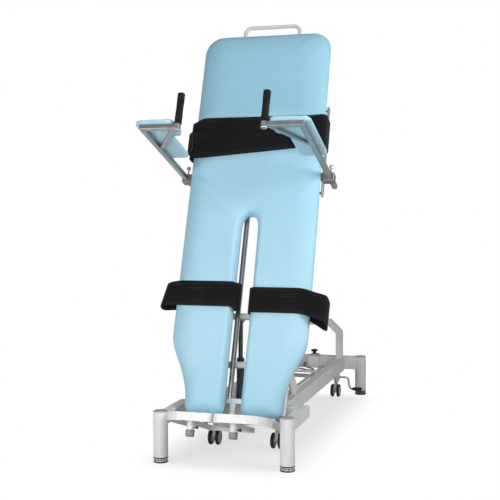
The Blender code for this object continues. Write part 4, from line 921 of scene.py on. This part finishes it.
def make_castor_wheels(name, end, rubber, grey, steel):
    """Twin wheels: crowned tyres on dished hubs with ribs, and the axle's ends."""
    axle = Vector(JOINTS[f"{name}_{end}_wheel_roll"]["pos_m"])
    ring = [(0.0290, 0.0108), (0.0335, 0.0098), (0.0376, 0.0118), (0.0396, 0.0152), (0.0400, 0.0190),
            (0.0396, 0.0228), (0.0376, 0.0262), (0.0335, 0.0282), (0.0290, 0.0272), (0.0290, 0.0108)]
    dish = [(0, 0.0250), (0.0062, 0.0250), (0.0070, 0.0228), (0.0215, 0.0232), (0.0245, 0.0266),
            (0.0280, 0.0272), (0.0289, 0.0262), (0.0289, 0.0118), (0.0270, 0.0105), (0.0080, 0.0098),
            (0, 0.0098)]
    end_cap = [(0, 0.0272), (0.0030, 0.0272), (0.0042, 0.0262), (0.0042, 0.0245), (0, 0.0245)]
    ribs = 6
    tyres, hubs, ends = [], [], []
    for side in (-1, 1):
        tyre, hub = turned(ring, 56), turned(dish, 48)
        for index in range(ribs):
            rib = block((0.0150, 0.0030, 0.0032), (0.0145, 0, 0.0240), 0.0008)
            rib.transform(Matrix.Rotation(index * 2 * math.pi / ribs, 4, "Z"))
            hub = gather([hub, rib])
        cap = turned(end_cap, 24)
        place = towards((side, 0, 0), axle)
        for solid, kept in ((tyre, tyres), (hub, hubs), (cap, ends)):
            solid.transform(place)
            kept.append(solid)
    body = f"{name}_{end}_castor_wheels"
    show(f"{name}_{end}_tyres", gather(tyres), rubber, body, body, 50)
    show(f"{name}_{end}_hubs", gather(hubs), grey, body, sharp=40)
    show(f"{name}_{end}_axle_ends", gather(ends), steel, body)


def make_sleeve_caps(grey):
    """Cups on the lower ends of the footplates' sleeves."""
    lean = Matrix.Rotation(math.radians(3), 4, "X")
    footrest = COUCH @ Matrix.Translation((0, along(-0.035), PAD_TOP + 0.285)) @ lean
    profile = [(0.0192, 0.030), (0.0206, 0.0292), (0.0210, 0.027), (0.0210, 0.004), (0.0180, -0.0016),
               (0, -0.0022), (0, -0.0004), (0.0192, 0.0), (0.0192, 0.030)]
    cups = []
    for _, side in SIDES:
        cup = turned(profile, 40)
        cup.transform(footrest @ towards((0, 1, 0), Vector((-0.018 + side * 0.105, -0.105, -0.085))))
        cups.append(cup)
    show("sleeve_cups", gather(cups), grey, "couch")


def screw(at, direction, radius=0.0065, height=0.0045):
    """Button-head screw with a hexagon socket, standing along a direction."""
    solid = turned([(0, height), (radius * 0.62, height), (radius * 0.92, height * 0.62),
                    (radius, 0.0003), (radius, 0), (0, 0)], 24)
    socket = bmesh.ops.create_circle(solid, cap_ends=True, segments=6, radius=radius * 0.40,
                                     matrix=Matrix.Translation((0, 0, height + 0.00005)))
    hollow = list({face for point in socket["verts"] for face in point.link_faces})
    bmesh.ops.reverse_faces(solid, faces=[face for face in hollow if face.normal.z < 0])
    bmesh.ops.inset_region(solid, faces=hollow, thickness=radius * 0.06, depth=-height * 0.45)
    solid.transform(towards(direction, Vector(at)))
    return solid


def make_screws(steel):
    """Visible fasteners of the base and the couch."""
    rear = FRONT + 1.9752
    solids = []
    for name, side in SIDES:
        low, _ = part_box(f"{name}_hinge_post")
        for y in (0.555, 0.655):
            for x in (0.173, 0.213):
                solids.append(screw((side * x, FRONT + y - 0.004, low.z + 0.0062), (0, 0, 1)))
        for height in (0.176, 0.220):
            for x in (0.235, 0.140):
                solids.append(screw((side * x, rear, height), (0, 1, 0)))
    show("base_screws", gather(solids), steel, "base")
    solids = []
    for _, side in SIDES:
        for place in RAIL_BOSSES[1:]:
            at = (side * 0.35805, along(place), RAIL_LEVEL)
            solids.append(screw(at, (side, 0, 0), 0.0055, 0.0016))
        for place in (0.160, 0.760, 1.180, 1.620, 1.900):
            solids.append(screw((side * SIDE_TUBE, along(place), 0.02495), (0, 0, -1), 0.006, 0.004))
        for place in (1.955, 2.025):
            solids.append(screw((side * 0.155, along(place), 0.03505), (0, 0, -1), 0.004, 0.003))
    show("couch_screws", gather(solids, COUCH), steel, "couch")


def make_rail_sleeves(rubber):
    """Sleeves between the board's edge and the rails, round the rails' bosses."""
    profile = [(0.00510, 0), (0.00555, 0), (0.00575, 0.0004), (0.00575, 0.0166), (0.00555, 0.0170),
               (0.00510, 0.0170), (0.00510, 0)]
    rings = []
    for _, side in SIDES:
        for place in RAIL_BOSSES:
            ring = turned(profile, 28)
            ring.transform(towards((side, 0, 0), Vector((side * 0.3305, along(place), RAIL_LEVEL))))
            rings.append(ring)
    show("rail_sleeves", gather(rings, COUCH), rubber, "couch")


def make_end_plugs(plastic):
    """Plastic plugs in the open ends of the tubes."""
    wide, thick, rounding = 0.0285, 0.0034, 0.0014
    solids = []
    for _, side in SIDES:
        for place, step in ((0.020, -1), (1.980, 1)):
            middle = (side * SIDE_TUBE, along(place) + step * thick / 2, 0.040)
            solids.append(block((wide, thick, wide), middle, rounding))
        for place in (0.270, 0.520, 1.850):
            solids.append(block((thick, wide, wide), (side * 0.2517, along(place), 0.0097), rounding))
    spine = turned([(0, 0.004), (0.009, 0.004), (0.0128, 0.0015), (0.0128, 0), (0, 0)], 28)
    spine.transform(towards((0, 1, 0), Vector((SPINE_X, along(SPINE_HEAD), SPINE_LEVEL))))
    solids.append(spine)
    show("tube_end_plugs", gather(solids, COUCH), plastic, "couch")
    for name, side in SIDES:
        middle = (side * 0.390, along(ARMS), PAD_TOP - 0.206 - 0.0018)
        tail = block((0.0238, 0.0238, 0.0036), middle, rounding)
        tail.transform(COUCH)
        show(f"{name}_arm_end_plug", tail, plastic, f"{name}_arm")


# Paintwork of the CAD pieces

def paint_nodes(finishes):
    paint = powder_coat("light_grey_powder_coat", tone(224, 225, 227), tone(214, 216, 218))
    frames = powder_coat("light_grey_frame_coat", tone(234, 235, 237), tone(224, 226, 228), caps=True)
    white = powder_coat("white_powder_coat", tone(244, 244, 245), tone(236, 237, 238))
    along_couch, out_of_couch, even = (1.0, 0.06, 1.0), (1.0, 1.0, 0.04), (1.0, 1.0, 1.0)
    chrome = bright_chrome("spine_chrome", tone(222, 224, 226), tone(206, 208, 210), 0.09, along_couch)
    steel = bright_chrome("satin_steel", tone(178, 179, 181), tone(152, 154, 156), 0.24, out_of_couch)
    cast = bright_chrome("grey_clamp_casting", tone(142, 144, 145), tone(118, 120, 122), 0.36, even)
    dark_rod = bright_chrome("dark_actuator_tube", tone(104, 107, 110), tone(84, 87, 90), 0.30, even)
    rubber = moulded("black_rubber_trim", tone(13, 13, 14), tone(28, 28, 29), 0.55)
    dark = moulded("dark_grey_housing", tone(70, 73, 76), tone(86, 89, 92), 0.42)
    grey = moulded("grey_castor_plastic", tone(204, 205, 207), tone(188, 190, 192), 0.42)
    by_slot = {"light_grey_paint": paint, "white_paint": white, "chrome": chrome,
               "brushed_steel": steel, "black_rubber": rubber, "black_plastic": finishes["black"],
               "dark_grey_plastic": dark, "grey_plastic": grey, "plywood": birch_ply(),
               "light_blue_upholstery": finishes["vinyl"], "black_webbing": finishes["cloth"]}
    special = {"front_base_frame": frames, "rear_base_frame": frames, "actuator_rod": dark_rod,
               "left_rail_clamp": cast, "right_rail_clamp": cast, "head_handle": paint,
               "left_rail": chrome, "right_rail": chrome}
    for end, plating in (("front", tone(196, 198, 200)), ("rear", tone(92, 94, 96))):
        for name, _ in SIDES:
            low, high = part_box(f"{name}_{end}_foot")
            bands = foot_bands(f"{name}_{end}_foot_bands", (low + high) / 2, plating)
            special[f"{name}_{end}_foot"] = bands
    for name, node in frame["nodes"].items():
        finish = special.get(name) or by_slot[SLOTS[name]]
        node.data.materials.clear()
        node.data.materials.append(finish.material)
    return {"steel": steel, "chrome": chrome, "rubber": rubber, "grey": grey}


# Studio

def make_floor():
    """White floor: bright where it is seen, grey in the light it throws back, shadowed near the base."""
    grid = bmesh.new()
    bmesh.ops.create_grid(grid, x_segments=8, y_segments=8, size=40)
    mesh = bpy.data.meshes.new("studio_floor")
    grid.to_mesh(mesh)
    grid.free()
    floor = bpy.data.objects.new("studio_floor", mesh)
    bpy.context.scene.collection.objects.link(floor)
    white = Finish("studio_white", Roughness=0.9, Specular_IOR_Level=0.1)
    seen = white.ray("Camera").most(white.ray("Glossy") * 0.6).most(white.ray("Transmission"))
    half_width, half_length, zone = 0.23, 0.84, 0.25       # the shaded ground about the base
    x = (abs(white.axis(0)) - half_width).most(0.0)
    y = (abs(white.axis(1)) - half_length).most(0.0)
    far = white.node("ShaderNodeMath", {"operation": "SQRT"}, {0: x * x + y * y}).step(0.0, zone)
    dull, bright = (0.50, 0.50, 0.50, 1), (0.90, 0.90, 0.90, 1)
    white.colour(white.mix(seen * (0.97 + white.cloud(0.4) * 0.06), dull, bright))
    lit = Value(white, white.shader.outputs[0])
    glow = white.node("ShaderNodeEmission", inputs={"Color": (1, 1, 1, 1), "Strength": 1.0})
    blend = white.node("ShaderNodeMixShader", inputs={0: seen * (0.66 + far * 0.34), 1: lit, 2: glow})
    white.feed(white.tree.nodes["Material Output"].inputs[0], blend)
    mesh.materials.append(white.material)


def make_sky():
    """White surround: full where it is seen, less in reflections, faint as a light."""
    reflected, fill = 0.32, 0.08
    world = bpy.data.worlds.new("studio_sky")
    bpy.context.scene.world = world
    world.use_nodes = True
    sky = NodeTree(world.node_tree)
    seen = sky.ray("Camera").most(sky.ray("Transmission")).most(sky.ray("Glossy") * reflected)
    background = sky.tree.nodes["Background"]
    sky.feed(background.inputs["Color"], (1, 1, 1, 1))
    sky.feed(background.inputs["Strength"], fill + seen * (1 - fill))


def make_studio():
    make_floor()
    make_sky()
    add_softbox("overhead_softbox", (0.5, -1.8, 7.2), (0.0, -0.4, 0.0), size=5.5, power=56)
    add_softbox("main_softbox", (0.4, -4.7, 1.4), (0.0, -0.5, 1.3), size=2.0, power=66)
    add_softbox("left_softbox", (-1.9, -3.9, 1.0), (0.0, -0.6, 1.2), size=1.6, power=46)
    add_softbox("right_softbox", (3.0, -1.5, 2.1), (0.3, -0.35, 1.9), size=1.5, power=30, spread=110)
    add_softbox("back_softbox", (0.3, 4.6, 4.6), (0.0, 0.2, 0.8), size=3.0, power=30)


def add_softbox(name, at, target, size, power, spread=180):
    lamp = bpy.data.lights.new(name, "AREA")
    lamp.shape = "SQUARE"
    lamp.size = size
    lamp.energy = power
    lamp.spread = math.radians(spread)
    holder = bpy.data.objects.new(name, lamp)
    bpy.context.scene.collection.objects.link(holder)
    facing = (Vector(target) - Vector(at)).to_track_quat("-Z", "Y").to_matrix().to_4x4()
    holder.matrix_world = Matrix.Translation(at) @ facing


def main():
    place_camera()
    # foot, leg and head tones of the couch's vinyl: the foot and head tones are darker as painted shade
    blue = vinyl("light_blue_vinyl", tone(166, 215, 234), tone(180, 223, 241), tone(154, 206, 227))
    # painted highlight: the arm pads get a lighter copy of the couch's vinyl, standing in for the light on their
    # fronts
    pale = tone(196, 231, 245)
    arm_blue_painted_highlight = vinyl("light_blue_arm_vinyl_painted_highlight", pale, pale, tone(190, 228, 243))
    cloth = belt_cloth()
    black = moulded("black_moulded_plastic", tone(26, 26, 27), tone(42, 42, 43), 0.40)
    made = paint_nodes({"vinyl": blue, "cloth": cloth, "black": black})
    grips = grip_rubber()
    make_couch_cushion(blue)
    make_chest_belt(cloth, black)
    for name, side in SIDES:
        make_leg_strap(name, side, cloth)
        make_arm_cushion(name, arm_blue_painted_highlight)
        make_grip(name, side, grips, made["chrome"])
        for end in ("front", "rear"):
            make_castor_wheels(name, end, made["rubber"], made["grey"], made["steel"])
    make_spine_tube(made["chrome"])
    make_screws(made["steel"])
    make_rail_sleeves(made["rubber"])
    plugs = moulded("grey_tube_plug", tone(150, 152, 154), tone(134, 136, 138), 0.45)
    make_end_plugs(plugs)
    make_sleeve_caps(plugs)
    make_studio()
    bpy.context.scene.view_settings.view_transform = "Standard"
    bpy.context.view_layer.update()


main()
